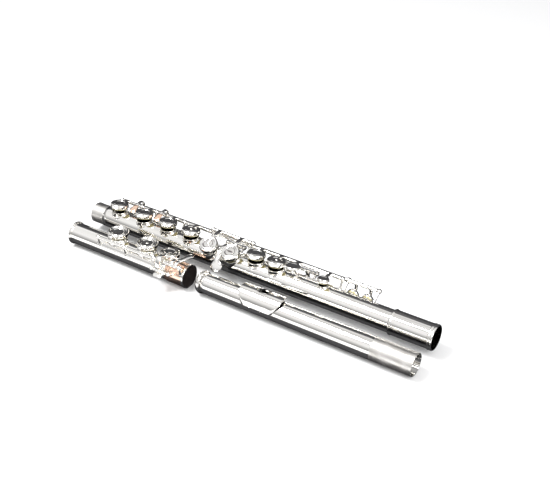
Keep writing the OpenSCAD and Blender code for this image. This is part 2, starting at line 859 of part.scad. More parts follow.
module foot_arm(at, r) {
    bar([foot_rod + [0.8, 1.3], [foot_rod[0] + 1.6, arm_height], [0.7 - r, arm_height]], 2, 4.4, at);
}

// Standing-open cup worked by the long inner rod, with its touch over the socket
module foot_c_key() {
    touch_at = foot_post_at[3] - 4.2;
    color(silver) on_foot() turned(foot_rod, foot_open_turn) difference() {
        union() {
            solid_rod(foot_rod, foot_post_at[0] + tube_gap, foot_post_at[1] - tube_gap, hinge_r);
            solid_rod(foot_rod, touch_at - 1.8, foot_post_at[3] - tube_gap, hinge_r);
            foot_arm(foot_c_at, foot_cup_r);
            translate([foot_c_at, 0, rim_height]) cup(foot_cup_r, cup_height);
            bar([foot_rod + [0.6, 1.3], foot_rod + [2, 2.4], foot_rod + [5.6, 2.6]], 1.6, 3.2, touch_at);
            translate([touch_at, foot_rod[0] + 4.6, foot_rod[1] + 2.6]) rotate([0, 0, -16])
                touch_plate(16, 3.6, 3, 1.5);
        }
        solid_rod(foot_rod, foot_post_at[0], foot_post_at[3]);
    }
}

module foot_c_rod() {
    color(steel) on_foot() solid_rod(foot_rod, foot_post_at[0] - 2, foot_post_at[3] + 2);
}

module foot_c_sharp_key() {
    from = foot_post_at[1] + tube_gap;
    to = c_sharp_tube_end;
    color(silver) on_foot() turned(foot_rod, foot_open_turn) difference() {
        union() {
            hinge_tube(foot_rod, from, to);
            foot_arm(foot_c_sharp_at, foot_cup_r);
            translate([foot_c_sharp_at, 0, rim_height]) cup(foot_cup_r, cup_height);
            bar([foot_rod + [0.6, 1.3], foot_rod + [2, 2.4], c_roller - [1.7, 0]], 1.6, 3.4, to - 2.4);
            for (s = [to - 4.4, to - 0.4]) solid_rod(c_roller, s - 0.4, s + 0.4, 1.4);
            solid_rod(c_roller, to - 4.8, to, roller_pin_r);
            translate([to - 4.8, c_roller[0] - 2.3, c_roller[1] - 0.5]) cube([4.8, 1.1, 1]);
        }
        translate([0, foot_rod[0], foot_rod[1]]) along_x(from - 1, to + 1, hinge_hole);
    }
}

module c_sharp_roller() {
    to = c_sharp_tube_end;
    color(silver) on_foot() turned(foot_rod, foot_open_turn)
        hinge_tube(c_roller, to - 3.9, to - 0.9, roller_pin_r + hinge_play, 1);
}

module foot_d_sharp_key() {
    from = foot_side_post_at[0] + tube_gap;
    to = foot_side_post_at[1] - tube_gap;
    cup_arm = [
        foot_side_rod + [-0.8, 1.2], foot_side_rod + [-2.1, 5.9], foot_rod + [-3.4, 3.2], foot_rod + [0.6, 5],
        [1 - foot_d_sharp_cup_r, rim_height + 5.1]
    ];
    touch = [
        foot_side_rod + [-1.1, -0.2], foot_side_rod + [-2.5, 0.1], foot_side_rod + [-5.9, -0.7],
        foot_side_rod + [-7.9, -2.3]
    ];
    color(silver) on_foot() difference() {
        union() {
            hinge_tube(foot_side_rod, from, to);
            bar(cup_arm, 1.6, 4.4, foot_d_sharp_at);
            translate([foot_d_sharp_at, 0, rim_height]) cup(foot_d_sharp_cup_r, cup_height, 0.4);
            bar(touch, 1.4, 9, to - 5);
            for (s = [to - 9.4, to - 0.6]) bar([d_roller + [1, -2.2], d_roller], 1.6, 0.9, s);
            solid_rod(d_roller, to - 9.8, to - 0.2, roller_pin_r);
        }
        translate([0, foot_side_rod[0], foot_side_rod[1]]) along_x(from - 1, to + 1, hinge_hole);
    }
}

module d_sharp_roller() {
    to = foot_side_post_at[1] - tube_gap;
    color(silver) on_foot() hinge_tube(d_roller, to - 8.8, to - 1.2, roller_pin_r + hinge_play, 1.1);
}

module foot_c_pad() {
    color(skin) on_foot() turned(foot_rod, foot_open_turn)
        translate([foot_c_at, 0, rim_height]) pad(foot_cup_r, cup_height);
}

module foot_c_sharp_pad() {
    color(skin) on_foot() turned(foot_rod, foot_open_turn)
        translate([foot_c_sharp_at, 0, rim_height]) pad(foot_cup_r, cup_height);
}

module foot_d_sharp_pad() {
    color(skin) on_foot() translate([foot_d_sharp_at, 0, rim_height])
        pad(foot_d_sharp_cup_r, cup_height, 0.4);
}

body_tube();
foot_tenon();
barrel();
main_rib();
main_posts();
trill_posts();
lower_posts();
key_steels();
needle_springs();
d_key();
e_key();
f_key();
f_sharp_key();
offset_g_key();
a_key();
b_flat_key();
c_key();
bridge_lever();
d_trill_key();
d_trill_tube();
d_sharp_trill_key();
d_sharp_trill_rod();
g_sharp_key();
thumb_b_key();
thumb_b_flat_lever();
d_pad();
e_pad();
f_pad();
f_sharp_pad();
offset_g_pads();
a_pad();
b_flat_pad();
c_pad();
d_trill_pad();
d_sharp_trill_pad();
g_sharp_pad();
thumb_b_pad();
head_tube();
head_tenon();
lip_plate();
embouchure_riser();
crown();
stopper_rod();
stopper_cork();
stopper_plates();
foot_tube();
foot_socket();
foot_end_ring();
foot_rib();
foot_posts();
foot_steel();
foot_c_key();
foot_c_rod();
foot_c_sharp_key();
foot_d_sharp_key();
foot_c_pad();
foot_c_sharp_pad();
foot_d_sharp_pad();
c_sharp_roller();
d_sharp_roller();
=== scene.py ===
# %% [markdown]
# # A concert flute in its three sections
# A silver-plated flute is kept in three pieces: the body section with most of the keys, the foot
# joint with three more, and the head joint with the lip plate. Here they lie side by side.
# Tubes, cups, balls and rings are turned, so they start as a profile that is spun. Arms and touches
# are forged, so they are lofted from ring to ring along a path.

# %% Load the frame
import json
import math

import bmesh
import bpy
from mathutils import Matrix, Vector


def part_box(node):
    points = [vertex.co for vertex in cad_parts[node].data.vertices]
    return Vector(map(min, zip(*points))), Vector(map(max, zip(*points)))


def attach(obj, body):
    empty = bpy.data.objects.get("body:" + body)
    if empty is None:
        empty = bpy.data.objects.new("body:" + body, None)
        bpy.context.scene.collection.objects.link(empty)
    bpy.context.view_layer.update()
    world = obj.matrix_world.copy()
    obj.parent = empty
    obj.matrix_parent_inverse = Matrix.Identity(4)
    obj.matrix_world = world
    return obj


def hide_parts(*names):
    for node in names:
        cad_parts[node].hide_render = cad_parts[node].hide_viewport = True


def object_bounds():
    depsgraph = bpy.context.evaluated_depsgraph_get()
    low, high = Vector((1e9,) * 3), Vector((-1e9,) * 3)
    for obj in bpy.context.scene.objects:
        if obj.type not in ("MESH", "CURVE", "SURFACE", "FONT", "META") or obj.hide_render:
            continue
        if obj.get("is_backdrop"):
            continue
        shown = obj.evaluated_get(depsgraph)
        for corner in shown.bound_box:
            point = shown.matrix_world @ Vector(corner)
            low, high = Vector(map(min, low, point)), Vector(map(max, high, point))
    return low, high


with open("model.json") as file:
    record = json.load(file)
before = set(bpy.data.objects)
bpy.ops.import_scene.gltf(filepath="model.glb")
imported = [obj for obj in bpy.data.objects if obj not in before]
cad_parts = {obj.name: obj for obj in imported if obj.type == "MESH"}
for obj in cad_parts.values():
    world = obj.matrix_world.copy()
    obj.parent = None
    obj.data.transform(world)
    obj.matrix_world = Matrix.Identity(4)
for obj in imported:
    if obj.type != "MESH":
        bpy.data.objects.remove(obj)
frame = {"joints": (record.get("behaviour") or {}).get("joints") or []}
cad_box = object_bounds()
MM = 0.001
JOINTS = {joint["name"]: joint for joint in frame["joints"]}

# %% [markdown]
# ## Where things are
# A station along a tube, the tube's radius and the line of a rod are read from the frame, so the
# pieces follow the construction. Lengths are millimetres and become metres when a mesh is placed.


# %% Places read from the frame
def low(node):
    """Low corner of a CAD node's box, in millimetres."""
    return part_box(node)[0] / MM


def high(node):
    """High corner of a CAD node's box, in millimetres."""
    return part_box(node)[1] / MM


def middle(node):
    """Centre of a CAD node's box, in millimetres."""
    return (low(node) + high(node)) / 2


def section(end_node, ring_node, upright=None):
    """Matrix of a tube's own frame: x along the tube, z towards a level pad, origin at the left end."""
    origin = middle(ring_node)
    roll = 0.0
    if upright:
        lean = middle(upright) - origin
        roll = round(math.degrees(math.atan2(lean.y, lean.z)), 1)
    print(f"{ring_node}: axis at y {origin.y:.2f}, z {origin.z:.2f}, rolled {roll} degrees")
    turn = Matrix.Rotation(math.radians(-roll), 4, "X")
    return Matrix.Translation((low(end_node).x, origin.y, origin.z)) @ turn


ON_BODY = section("foot_tenon", "foot_tenon")
ON_FOOT = section("foot_tube", "foot_end_ring", "foot_d_sharp_pad")
ON_HEAD = section("crown", "head_tenon")


def station(node, place):
    """Middle of a node along its tube."""
    return middle(node).x - place.translation.x


def reach(node, place):
    """First and last station of a node."""
    return low(node).x - place.translation.x, high(node).x - place.translation.x


def rod(joint, place):
    """(y, z) in its tube's frame of the line that a key turns on."""
    pos = place.inverted() @ (Vector(JOINTS[joint]["pos_m"]) / MM)
    return Vector((pos.y, pos.z))


def held_open(joint, place):
    """Place matrix of a key that is drawn closed and rests open."""
    first, last = JOINTS[joint]["range_deg"]
    y, z = rod(joint, place)
    pivot = Matrix.Translation((0, y, z))
    return place @ pivot @ Matrix.Rotation(math.radians(-first - last), 4, "X") @ pivot.inverted()


def clock(at, degrees):
    """Stands a piece at a station, tipped from the top of the tube towards the front."""
    return Matrix.Translation((at, 0, 0)) @ Matrix.Rotation(math.radians(degrees), 4, "X")


TUBE_R = (high("head_tenon").z - low("head_tenon").z) / 2
TUBE_WALL = 0.4
BORE_R = TUBE_R - TUBE_WALL
RIM = 11.9
SMALL_RIM = RIM - 0.5
CUP_H = 4.2
SMALL_CUP_H = 3.2
SHEET = 1.1
SEAT = 1.05
HINGE_R = 1.7
STEEL_R = 0.95
BALL_R = 2.1
MAIN = rod("d_turn", ON_BODY)
OFFSET = rod("offset_g_turn", ON_BODY)
TRILL = rod("d_trill_turn", ON_BODY)
LOWER = rod("g_sharp_turn", ON_BODY)
FOOT = rod("foot_c_turn", ON_FOOT)
SIDE = rod("foot_d_sharp_turn", ON_FOOT)

# %% [markdown]
# ## Camera
# It looks down on the sections from the front right, from a little under a metre away. The tubes
# run across the picture and the cups show their tops.


# %% Camera
def add_camera():
    """A camera on a sphere round the point that it looks at, rolled by a hair."""
    azimuth, elevation, roll = (math.radians(a) for a in (33.369, 34.475, -0.784))
    target = Vector((1.6, 52.81, 15.9)) * MM
    back = Vector((
        math.sin(azimuth) * math.cos(elevation),
        -math.cos(azimuth) * math.cos(elevation),
        math.sin(elevation),
    ))
    distance = 0.8731
    bpy.ops.object.camera_add(location=target + back * distance)
    camera = bpy.context.object
    turn = back.to_track_quat("Z", "Y").to_matrix() @ Matrix.Rotation(roll, 3, "Z")
    camera.rotation_euler = turn.to_euler()
    camera.data.lens = 63.575
    camera.data.sensor_width = 36
    camera.data.clip_start = 0.01
    bpy.context.scene.camera = camera
    print("camera at", [round(c, 3) for c in camera.location])


add_camera()

# %% [markdown]
# ## Finishes
# Polished plate is almost a mirror, and what gives it away is wiping: faint marks that only show in
# the roughness. The tenons are left satin so that they slide. Pads are felt under oiled skin.


# %% Node groups shared by the finishes
def add(tree, kind, **settings):
    """Adds a shader node and sets its options and the inputs named in `settings`."""
    node = tree.nodes.new("ShaderNode" + kind)
    for key, value in settings.items():
        if key in node.inputs:
            node.inputs[key].default_value = value
        else:
            setattr(node, key, value)
    return node


def wire(tree, *links):
    """Links sockets: each row names a node, its output, the next node and its input."""
    for source, output, target, entry in links:
        tree.links.new(source.outputs[output], target.inputs[entry])


def noise_group(name, inputs, outputs, scale, **settings):
    """A group that starts from noise in object space; `scale` names the input that sizes it."""
    group = bpy.data.node_groups.new(name, "ShaderNodeTree")
    for label, value in inputs.items():
        socket = group.interface.new_socket(label, in_out="INPUT", socket_type="NodeSocketFloat")
        socket.default_value = value
    for label, kind in outputs.items():
        group.interface.new_socket(label, in_out="OUTPUT", socket_type=kind)
    entry, result = group.nodes.new("NodeGroupInput"), group.nodes.new("NodeGroupOutput")
    place = add(group, "TexCoord")
    noise = add(group, "TexNoise", **settings)
    wire(group, (place, "Object", noise, "Vector"), (entry, scale, noise, "Scale"))
    return group, entry, noise, result


def wiping_group():
    """Roughness of a wiped surface: wide smears and fine hairlines."""
    group, inputs, smear, outputs = noise_group(
        "wiping", {"Least": 0.05, "Most": 0.12, "Size": 60.0}, {"Roughness": "NodeSocketFloat"}, "Size",
        Detail=3.0, Roughness=0.6)
    mix = add(group, "MapRange", **{"From Min": 0.35, "From Max": 0.7})
    wire(group, (smear, "Fac", mix, "Value"), (inputs, "Least", mix, "To Min"),
         (inputs, "Most", mix, "To Max"), (mix, "Result", outputs, "Roughness"))
    return group


def relief_group():
    """Normal of a fine grain."""
    group, inputs, grain, outputs = noise_group(
        "relief", {"Scale": 900.0, "Strength": 0.2, "Distance": 0.0001}, {"Normal": "NodeSocketVector"},
        "Scale", Detail=4.0)
    bump = add(group, "Bump")
    wire(group, (grain, "Fac", bump, "Height"), (inputs, "Strength", bump, "Strength"),
         (inputs, "Distance", bump, "Distance"), (bump, "Normal", outputs, "Normal"))
    return group


def mottle_group():
    """Mask of soft patches, 0 to 1."""
    group, inputs, noise, outputs = noise_group(
        "mottle", {"Scale": 200.0, "From": 0.4, "To": 0.65}, {"Mask": "NodeSocketFloat"}, "Scale", Detail=3.0)
    mix = add(group, "MapRange")
    wire(group, (noise, "Fac", mix, "Value"), (inputs, "From", mix, "From Min"),
         (inputs, "To", mix, "From Max"), (mix, "Result", outputs, "Mask"))
    return group


WIPING, RELIEF, MOTTLE = wiping_group(), relief_group(), mottle_group()


# %% Finishes
def use(tree, group, **values):
    """Places a shared group in a material."""
    node = tree.nodes.new("ShaderNodeGroup")
    node.node_tree = group
    for key, value in values.items():
        node.inputs[key].default_value = value
    return node


def finish_of(name, pale, dark, metallic, rough, mottle, grain=None):
    """A material that goes between two colours in patches, with wiped roughness and grain."""
    material = bpy.data.materials.new(name)
    material.use_nodes = True
    tree = material.node_tree
    shader = tree.nodes["Principled BSDF"]
    shader.inputs["Metallic"].default_value = metallic
    patches = use(tree, MOTTLE, Scale=mottle)
    colour = tree.nodes.new("ShaderNodeMix")
    colour.data_type = "RGBA"
    colour.inputs[6].default_value = (*pale, 1)
    colour.inputs[7].default_value = (*dark, 1)
    tree.links.new(patches.outputs["Mask"], colour.inputs[0])
    tree.links.new(colour.outputs[2], shader.inputs["Base Color"])
    wiped = use(tree, WIPING, Least=rough[0], Most=rough[1], Size=rough[2])
    tree.links.new(wiped.outputs["Roughness"], shader.inputs["Roughness"])
    if grain:
        relief = use(tree, RELIEF, Scale=grain[0], Strength=grain[1])
        tree.links.new(relief.outputs["Normal"], shader.inputs["Normal"])
    return material


FINISHES = {
    "silver": finish_of("polished_silver", (0.955, 0.94, 0.91), (0.93, 0.91, 0.87), 1, (0.03, 0.09, 60), 25),
    "satin": finish_of(
        "satin_nickel", (0.80, 0.78, 0.75), (0.70, 0.68, 0.64), 1, (0.3, 0.45, 90), 140, (1500, 0.15)),
    "socket": finish_of("warm_plate", (0.96, 0.70, 0.55), (0.90, 0.60, 0.44), 1, (0.12, 0.22, 80), 60),
    # Painted shade: a near-black finish that paints shade inside the foot socket and in the G cups' lines.
    "painted_shade": finish_of("painted_shade_dark", (0.10, 0.085, 0.08), (0.05, 0.04, 0.04), 0.6, (0.4, 0.5, 80), 60),
    "steel": finish_of("drawn_steel", (0.80, 0.80, 0.79), (0.70, 0.70, 0.69), 1, (0.14, 0.26, 200), 300),
    "pad_skin": finish_of(
        "oiled_skin", (0.76, 0.69, 0.42), (0.60, 0.53, 0.28), 0, (0.4, 0.6, 300), 500, (2200, 0.25)),
    "cork": finish_of("cork", (0.68, 0.48, 0.29), (0.42, 0.27, 0.15), 0, (0.7, 0.9, 200), 900, (1800, 0.6)),
}
print("finishes:", ", ".join(FINISHES))

# %% [markdown]
# ## Working methods
# Each helper leaves one finished mesh. A piece is made round its own origin and one matrix takes it
# to its place, so every object ends at the origin, unturned, with its place in the mesh.


# %% Clean starts and placing
def fresh():
    """Object mode with nothing selected."""
    if bpy.context.object and bpy.context.object.mode != "OBJECT":
        bpy.ops.object.mode_set(mode="OBJECT")
    bpy.ops.object.select_all(action="DESELECT")


def pick(*pieces):
    """Selects pieces and makes the first one active."""
    fresh()
    for piece in pieces:
        piece.select_set(True)
    bpy.context.view_layer.objects.active = pieces[0]


def placed(piece, matrix=None):
    """Moves a mesh by a matrix that is in millimetres and leaves its object at the origin."""
    pick(piece)
    piece.matrix_world = (matrix or Matrix()) @ piece.matrix_world
    bpy.ops.object.transform_apply(location=True, rotation=True, scale=True)
    return piece


def joined(pieces):
    """One object from several."""
    pick(*pieces)
    if len(pieces) > 1:
        bpy.ops.object.join()
    return bpy.context.object


def handed_over(piece, place, name, finish, body, *nodes, angle=32, slot=None):
    """Puts a piece in its place in metres, smooths and names it, and swaps it for its CAD nodes."""
    placed(placed(piece, place), Matrix.Scale(MM, 4))
    if angle:
        bpy.ops.object.shade_smooth_by_angle(angle=math.radians(angle), keep_sharp_edges=False)
    piece.name = piece.data.name = name
    piece.data.materials.clear()
    piece.data.materials.append(FINISHES[finish])
    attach(piece, body)
    if nodes:
        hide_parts(*nodes)
    print(f"{name}: {len(piece.data.polygons)} faces")
    return piece


# %% The lathe
ALONG_X = Matrix.Rotation(math.radians(90), 4, "Y")


def rounded(profile, radius, steps=3):
    """The same open outline with each inner corner eased over about this length."""
    points = [Vector(p) for p in profile]
    result = [points[0]]
    for before, here, after in zip(points, points[1:], points[2:]):
        size = min(radius, (here - before).length * 0.45, (after - here).length * 0.45)
        start = here + (before - here).normalized() * size
        end = here + (after - here).normalized() * size
        for k in range(steps + 1):
            t = k / steps
            result.append(start * (1 - t) ** 2 + here * 2 * t * (1 - t) + end * t * t)
    return result + [points[-1]]


def lathe(profile, turns=64):
    """Draws (radius, height) points one by one and spins them round Z."""
    points = [Vector((p[0], 0, p[1])) for p in profile]
    fresh()
    bpy.ops.mesh.primitive_plane_add(size=1)
    bpy.ops.object.mode_set(mode="EDIT")
    bpy.ops.mesh.merge(type="CENTER")
    bpy.ops.transform.translate(value=points[0])
    for before, here in zip(points, points[1:]):
        bpy.ops.mesh.extrude_region_move(TRANSFORM_OT_translate={"value": here - before})
    bpy.ops.mesh.select_all(action="SELECT")
    bpy.ops.mesh.spin(steps=turns, angle=math.tau, center=(0, 0, 0), axis=(0, 0, 1))
    bpy.ops.mesh.select_all(action="SELECT")
    bpy.ops.mesh.remove_doubles(threshold=0.002)
    bpy.ops.mesh.normals_make_consistent(inside=False)
    bpy.ops.object.mode_set(mode="OBJECT")
    return bpy.context.object


def wall(stations, inner, turns=96, edge=0.08):
    """A pipe along X from (x, outer radius) stations, with eased ends and an inner radius each end."""
    first, last = stations[0], stations[-1]
    outside = [(r, x) for x, r in stations[1:-1]]
    profile = [
        (inner[0], first[0]), (first[1] - edge, first[0]), (first[1], first[0] + edge), *outside,
        (last[1], last[0] - edge), (last[1] - edge, last[0]), (inner[1], last[0]), (inner[0], first[0]),
    ]
    return placed(lathe(profile, turns), ALONG_X)


def bar_along(start, end, r, at=(0, 0), turns=32, edge=0.15):
    """A solid round bar along X with eased ends."""
    profile = [(0, start), (r - edge, start), (r, start + edge), (r, end - edge), (r - edge, end), (0, end)]
    return placed(lathe(profile, turns), Matrix.Translation((0, *at)) @ ALONG_X)


def sleeve(start, end, at, inner=STEEL_R + 0.05, r=HINGE_R):
    """A hinge tube with a turned collar at each end."""
    collar = min(1.2, (end - start) / 5)
    profile = [
        (inner, start), (r - 0.25, start), (r, start + 0.2), (r, start + collar),
        (r - 0.16, start + collar + 0.25), (r - 0.16, end - collar - 0.25), (r, end - collar),
        (r, end - 0.2), (r - 0.25, end), (inner, end), (inner, start),
    ]
    return placed(lathe(profile, 32), Matrix.Translation((0, *at)) @ ALONG_X)


# %% The loft
def loft(rings, capped=True):
    """Extrudes a circle from ring to ring; each ring is a list of points in the same order."""
    fresh()
    fill = "NGON" if capped else "NOTHING"
    bpy.ops.mesh.primitive_circle_add(vertices=len(rings[0]), radius=1, fill_type=fill)
    piece = bpy.context.object
    bpy.ops.object.mode_set(mode="EDIT")
    mesh = bmesh.from_edit_mesh(piece.data)
    for v, p in zip(mesh.verts, rings[0]):
        v.co = p
    for before, here in zip(rings, rings[1:]):
        if capped:
            bpy.ops.mesh.extrude_region()
        else:
            bpy.ops.mesh.extrude_edges_indiv()
        mesh = bmesh.from_edit_mesh(piece.data)
        for v in mesh.verts:
            if v.select:
                near = min(range(len(before)), key=lambda i: (before[i] - v.co).length_squared)
                v.co = here[near]
    bpy.ops.mesh.select_all(action="SELECT")
    bpy.ops.mesh.remove_doubles(threshold=0.002)
    bpy.ops.mesh.normals_make_consistent(inside=False)
    bpy.ops.object.mode_set(mode="OBJECT")
    return piece


def eased(rows, steps):
    """Points on a smooth curve through rows of numbers."""
    rows = [Vector(row) for row in rows]
    rows = [rows[0] * 2 - rows[1], *rows, rows[-1] * 2 - rows[-2]]
    result = []
    for a, b, c, d in zip(rows, rows[1:], rows[2:], rows[3:]):
        for k in range(steps):
            t = k / steps
            result.append(b + (c - a) * (t / 2) + (a * 2 - b * 5 + c * 4 - d) * (t * t / 2)
                          + (b * 3 - a - c * 3 + d) * (t ** 3 / 2))
    return result + [rows[-2]]


def strap(path, steps=5, sides=16, boxy=0.65):
    """A forged bar along (x, y, z, width, thickness) points, with eased ends."""
    rows = eased(path, steps)
    spots = [Vector(row[:3]) for row in rows]
    unit = [(math.cos(math.tau * i / sides), math.sin(math.tau * i / sides)) for i in range(sides)]
    unit = [(math.copysign(abs(c) ** boxy, c), math.copysign(abs(s) ** boxy, s)) for c, s in unit]
    rings = []
    last = len(rows) - 1
    for i, row in enumerate(rows):
        ahead = (spots[min(i + 1, last)] - spots[max(i - 1, 0)]).normalized()
        side = (Vector((1, 0, 0)) - ahead * ahead.x).normalized()
        up = ahead.cross(side)
        ring = [(c * row[3] / 2, s * row[4] / 2) for c, s in unit]
        if i == 0:
            rings.append([spots[i] - ahead * row[4] * 0.3 + side * c * 0.6 + up * s * 0.6 for c, s in ring])
        rings.append([spots[i] + side * c + up * s for c, s in ring])
        if i == last:
            rings.append([spots[i] + ahead * row[4] * 0.3 + side * c * 0.6 + up * s * 0.6 for c, s in ring])
    return loft(rings)


def pillow(outline, thick, dome=0.25, edge=0.35):
    """A forged plate: a flat outline with rounded edges and a slightly domed top."""
    centre = sum(outline, Vector((0, 0))) / len(outline)

    def ring(inset, height):
        result = []
        for p in outline:
            away = p - centre
            q = centre + away * max(0.0, 1 - inset / away.length)
            result.append(Vector((q.x, q.y, height)))
        return result

    half = thick / 2
    far = min((p - centre).length for p in outline)
    levels = [
        (edge, -half), (edge * 0.3, -half + edge * 0.3), (0, -half + edge), (0, half - edge),
        (edge * 0.3, half - edge * 0.3), (edge, half), (far * 0.45, half + dome * 0.75),
        (far * 0.8, half + dome),
    ]
    return loft([ring(*level) for level in levels])


def paddle(length, neck, tip, points=40):
    """Outline of a touch in its own plane, from its neck at the origin to its round tip."""
    result = []
    for i in range(points):
        a = math.tau * i / points
        along = (1 - math.cos(a)) / 2
        y = length * along
        swell = neck / 2 + (tip - neck / 2) * (0.5 - 0.5 * math.cos(math.pi * min(1, along * 1.35)))
        end = math.sqrt(max(0.0, 1 - max(0.0, (y - (length - tip)) / tip) ** 2))
        start = math.sqrt(min(1.0, y / 0.8 + 0.02))
        result.append(Vector((math.copysign(swell * end * start, math.sin(a)), y)))
    return result


# %% Drawn tone holes
CHIMNEY_WALL = 0.5


def saddle(y):
    """Height of a tube's surface at this distance from its middle line."""
    return math.sqrt(max(0.0, TUBE_R ** 2 - y * y))


def chimney(r, rim):
    """Wall of a tone hole: a rolled rim, a straight neck and a foot that flares on to the tube."""
    inner, neck = r - CHIMNEY_WALL, r
    rise = rim - TUBE_R
    profile = rounded([
        (inner, -0.35), (inner, rise - 0.3), (inner + 0.15, rise), (neck + 0.02, rise + 0.0),
        (neck + 0.2, rise - 0.28), (neck, rise - 0.6), (neck, 0.75), (neck + 0.25, 0.3), (neck + 0.85, 0.02),
        (neck + 0.85, -0.3), (inner, -0.35),
    ], 0.2)
    piece = lathe(profile, 72)
    for v in piece.data.vertices:
        share = min(1.0, max(0.0, v.co.z / rise))
        v.co.z += saddle(v.co.y) * (1 - share) + TUBE_R * share
    return piece


def carved(piece, plug):
    """Cuts a piece by a plug and keeps the smooth normals that it had."""
    pick(piece)
    bpy.ops.object.shade_smooth_by_angle(angle=math.radians(35), keep_sharp_edges=False)
    bpy.ops.object.duplicate(linked=False)
    cut = bpy.context.object
    bpy.ops.object.modifier_add(type="BOOLEAN")
    cut.modifiers[-1].object = plug
    cut.modifiers[-1].solver = "EXACT"
    bpy.ops.object.modifier_apply(modifier=cut.modifiers[-1].name)
    bpy.ops.object.modifier_add(type="DATA_TRANSFER")
    transfer = cut.modifiers[-1]
    transfer.object = piece
    transfer.use_loop_data = True
    transfer.data_types_loops = {"CUSTOM_NORMAL"}
    transfer.loop_mapping = "POLYINTERP_NEAREST"
    bpy.ops.object.modifier_apply(modifier=transfer.name)
    pick(plug, piece)
    bpy.ops.object.delete()
    return cut


def holed(start, end, holes):
    """A tube with tone holes cut in it, and a chimney for each."""
    count = round((end - start) / 4)
    pipe = wall([(start + (end - start) * i / count, TUBE_R) for i in range(count + 1)], (BORE_R, BORE_R))
    plugs = []
    for at, tip, r, _ in holes:
        fresh()
        bpy.ops.mesh.primitive_cylinder_add(vertices=72, radius=r - CHIMNEY_WALL, depth=6)
        plug = placed(bpy.context.object, Matrix.Translation((0, 0, TUBE_R)))
        plugs.append(placed(plug, clock(at, tip)))
    return carved(pipe, joined(plugs)), [placed(chimney(r, rim), clock(at, tip)) for at, tip, r, rim in holes]


# %% [markdown]
# ## Tubes of the body section
# The tube is drawn, and each tone hole is drawn out of its wall: a short chimney with a rolled rim.
# The barrel at one end holds the head joint, and the satin tenon at the other takes the foot joint.

# %% Body tube and its tone holes
CUP_R = 8.5
SMALL_R = 5.3
G_SHARP_R, THUMB_R = 7.6, 7.2
G_SHARP_TIP, THUMB_TIP, TRILL_TIP, OFFSET_TIP = -125, -115, -85, 27
HOLE = 1.4
CUPS = {
    "d": ("d_pad", 0, CUP_R, RIM), "e": ("e_pad", 0, CUP_R, RIM), "f": ("f_pad", 0, CUP_R, RIM),
    "f_sharp": ("f_sharp_pad", 0, CUP_R, RIM), "a": ("a_pad", 0, CUP_R, RIM),
    "b_flat": ("b_flat_pad", 0, CUP_R, RIM), "g_sharp": ("g_sharp_pad", G_SHARP_TIP, G_SHARP_R, RIM),
    "thumb_b": ("thumb_b_pad", THUMB_TIP, THUMB_R, RIM), "c": ("c_pad", 0, SMALL_R, SMALL_RIM),
    "d_trill": ("d_trill_pad", TRILL_TIP, SMALL_R, SMALL_RIM),
    "d_sharp_trill": ("d_sharp_trill_pad", TRILL_TIP, SMALL_R, SMALL_RIM),
}
AT = {key: station(values[0], ON_BODY) for key, values in CUPS.items()}
first, last = reach("offset_g_pads", ON_BODY)
AT["low_g"] = first + CUP_R - SHEET
AT["g"] = last - CUP_R + SHEET
body_holes = [(AT[key], tip, r - HOLE, rim) for key, (_, tip, r, rim) in CUPS.items()]
body_holes += [(AT[key], OFFSET_TIP, CUP_R - HOLE, RIM) for key in ("low_g", "g")]

cut, chimneys = holed(*reach("body_tube", ON_BODY), body_holes)
handed_over(cut, ON_BODY, "body_pipe", "silver", "body_section", "body_tube", angle=None)
handed_over(joined(chimneys), ON_BODY, "body_chimneys", "silver", "body_section")

# %% Tenon and barrel of the body section
start, end = reach("foot_tenon", ON_BODY)
FOOT_TENON_R = 9.6
tenon = wall([
    (start, FOOT_TENON_R), (start + 0.5, FOOT_TENON_R), (end - 0.9, FOOT_TENON_R), (end - 0.8, TUBE_R),
    (end, TUBE_R)], (BORE_R - TUBE_WALL, BORE_R - TUBE_WALL))
handed_over(tenon, ON_BODY, "foot_tenon_turned", "satin", "body_section", "foot_tenon")

start, end = reach("barrel", ON_BODY)
outer = (high("barrel").z - low("barrel").z) / 2 - 0.5


def bead(at, width=2.0, rise=0.5):
    """Stations of a round bead."""
    return [(at + width * i / 8, outer + rise * math.sin(math.pi * i / 8) ** 0.5) for i in range(9)]


barrel = wall(
    [(start, outer), *bead(start + 0.1), (start + 8, outer), (start + 20, outer), (end - 9, outer),
     *bead(end - 4.6), *bead(end - 2.1), (end, outer)], (TUBE_R + 0.02, TUBE_R + 0.02))
handed_over(barrel, ON_BODY, "barrel_turned", "silver", "body_section", "barrel")


# %% [markdown]
# ## Ribs and posts
# A rib is a long strip that is soldered to the tube, and the posts stand on it. Each post is turned
# from one rod: a flared foot, a slim neck and a ball that the steel passes through.


# %% Ribs
RIB_THICK = 1.0
MAIN_RIB_TIP, FOOT_RIB_TIP = -57, 66


def rib(start, end, tip, width=3.6):
    """A strip that hugs the tube, with round edges and half-round ends."""
    half = math.degrees(width / 2 / TUBE_R)
    fan = [-half + 2 * half * i / 8 for i in range(9)]
    rings = []
    near = ((0, 0.35), (0.5, 0.8), (1.6, 1))
    for x, share in [(start + d, k) for d, k in near] + [(end - d, k) for d, k in reversed(near)]:
        thick = RIB_THICK * (0.6 + 0.4 * share)
        ring = [(TUBE_R + (thick if 0 < i < 8 else 0.7 * thick), a * share) for i, a in enumerate(fan)]
        ring += [(TUBE_R - 0.1, a * share) for a in (fan[-1], 0, fan[0])]
        turns = [(r, math.radians(a)) for r, a in ring]
        rings.append([Vector((x, r * math.sin(a), r * math.cos(a))) for r, a in turns])
    return placed(loft(rings), clock(0, tip))


strip = rib(*reach("main_rib", ON_BODY), MAIN_RIB_TIP)
handed_over(strip, ON_BODY, "main_rib_strip", "silver", "body_section", "main_rib", angle=50)
strip = rib(*reach("foot_rib", ON_FOOT), FOOT_RIB_TIP)
handed_over(strip, ON_FOOT, "foot_rib_strip", "silver", "foot_joint", "foot_rib", angle=50)


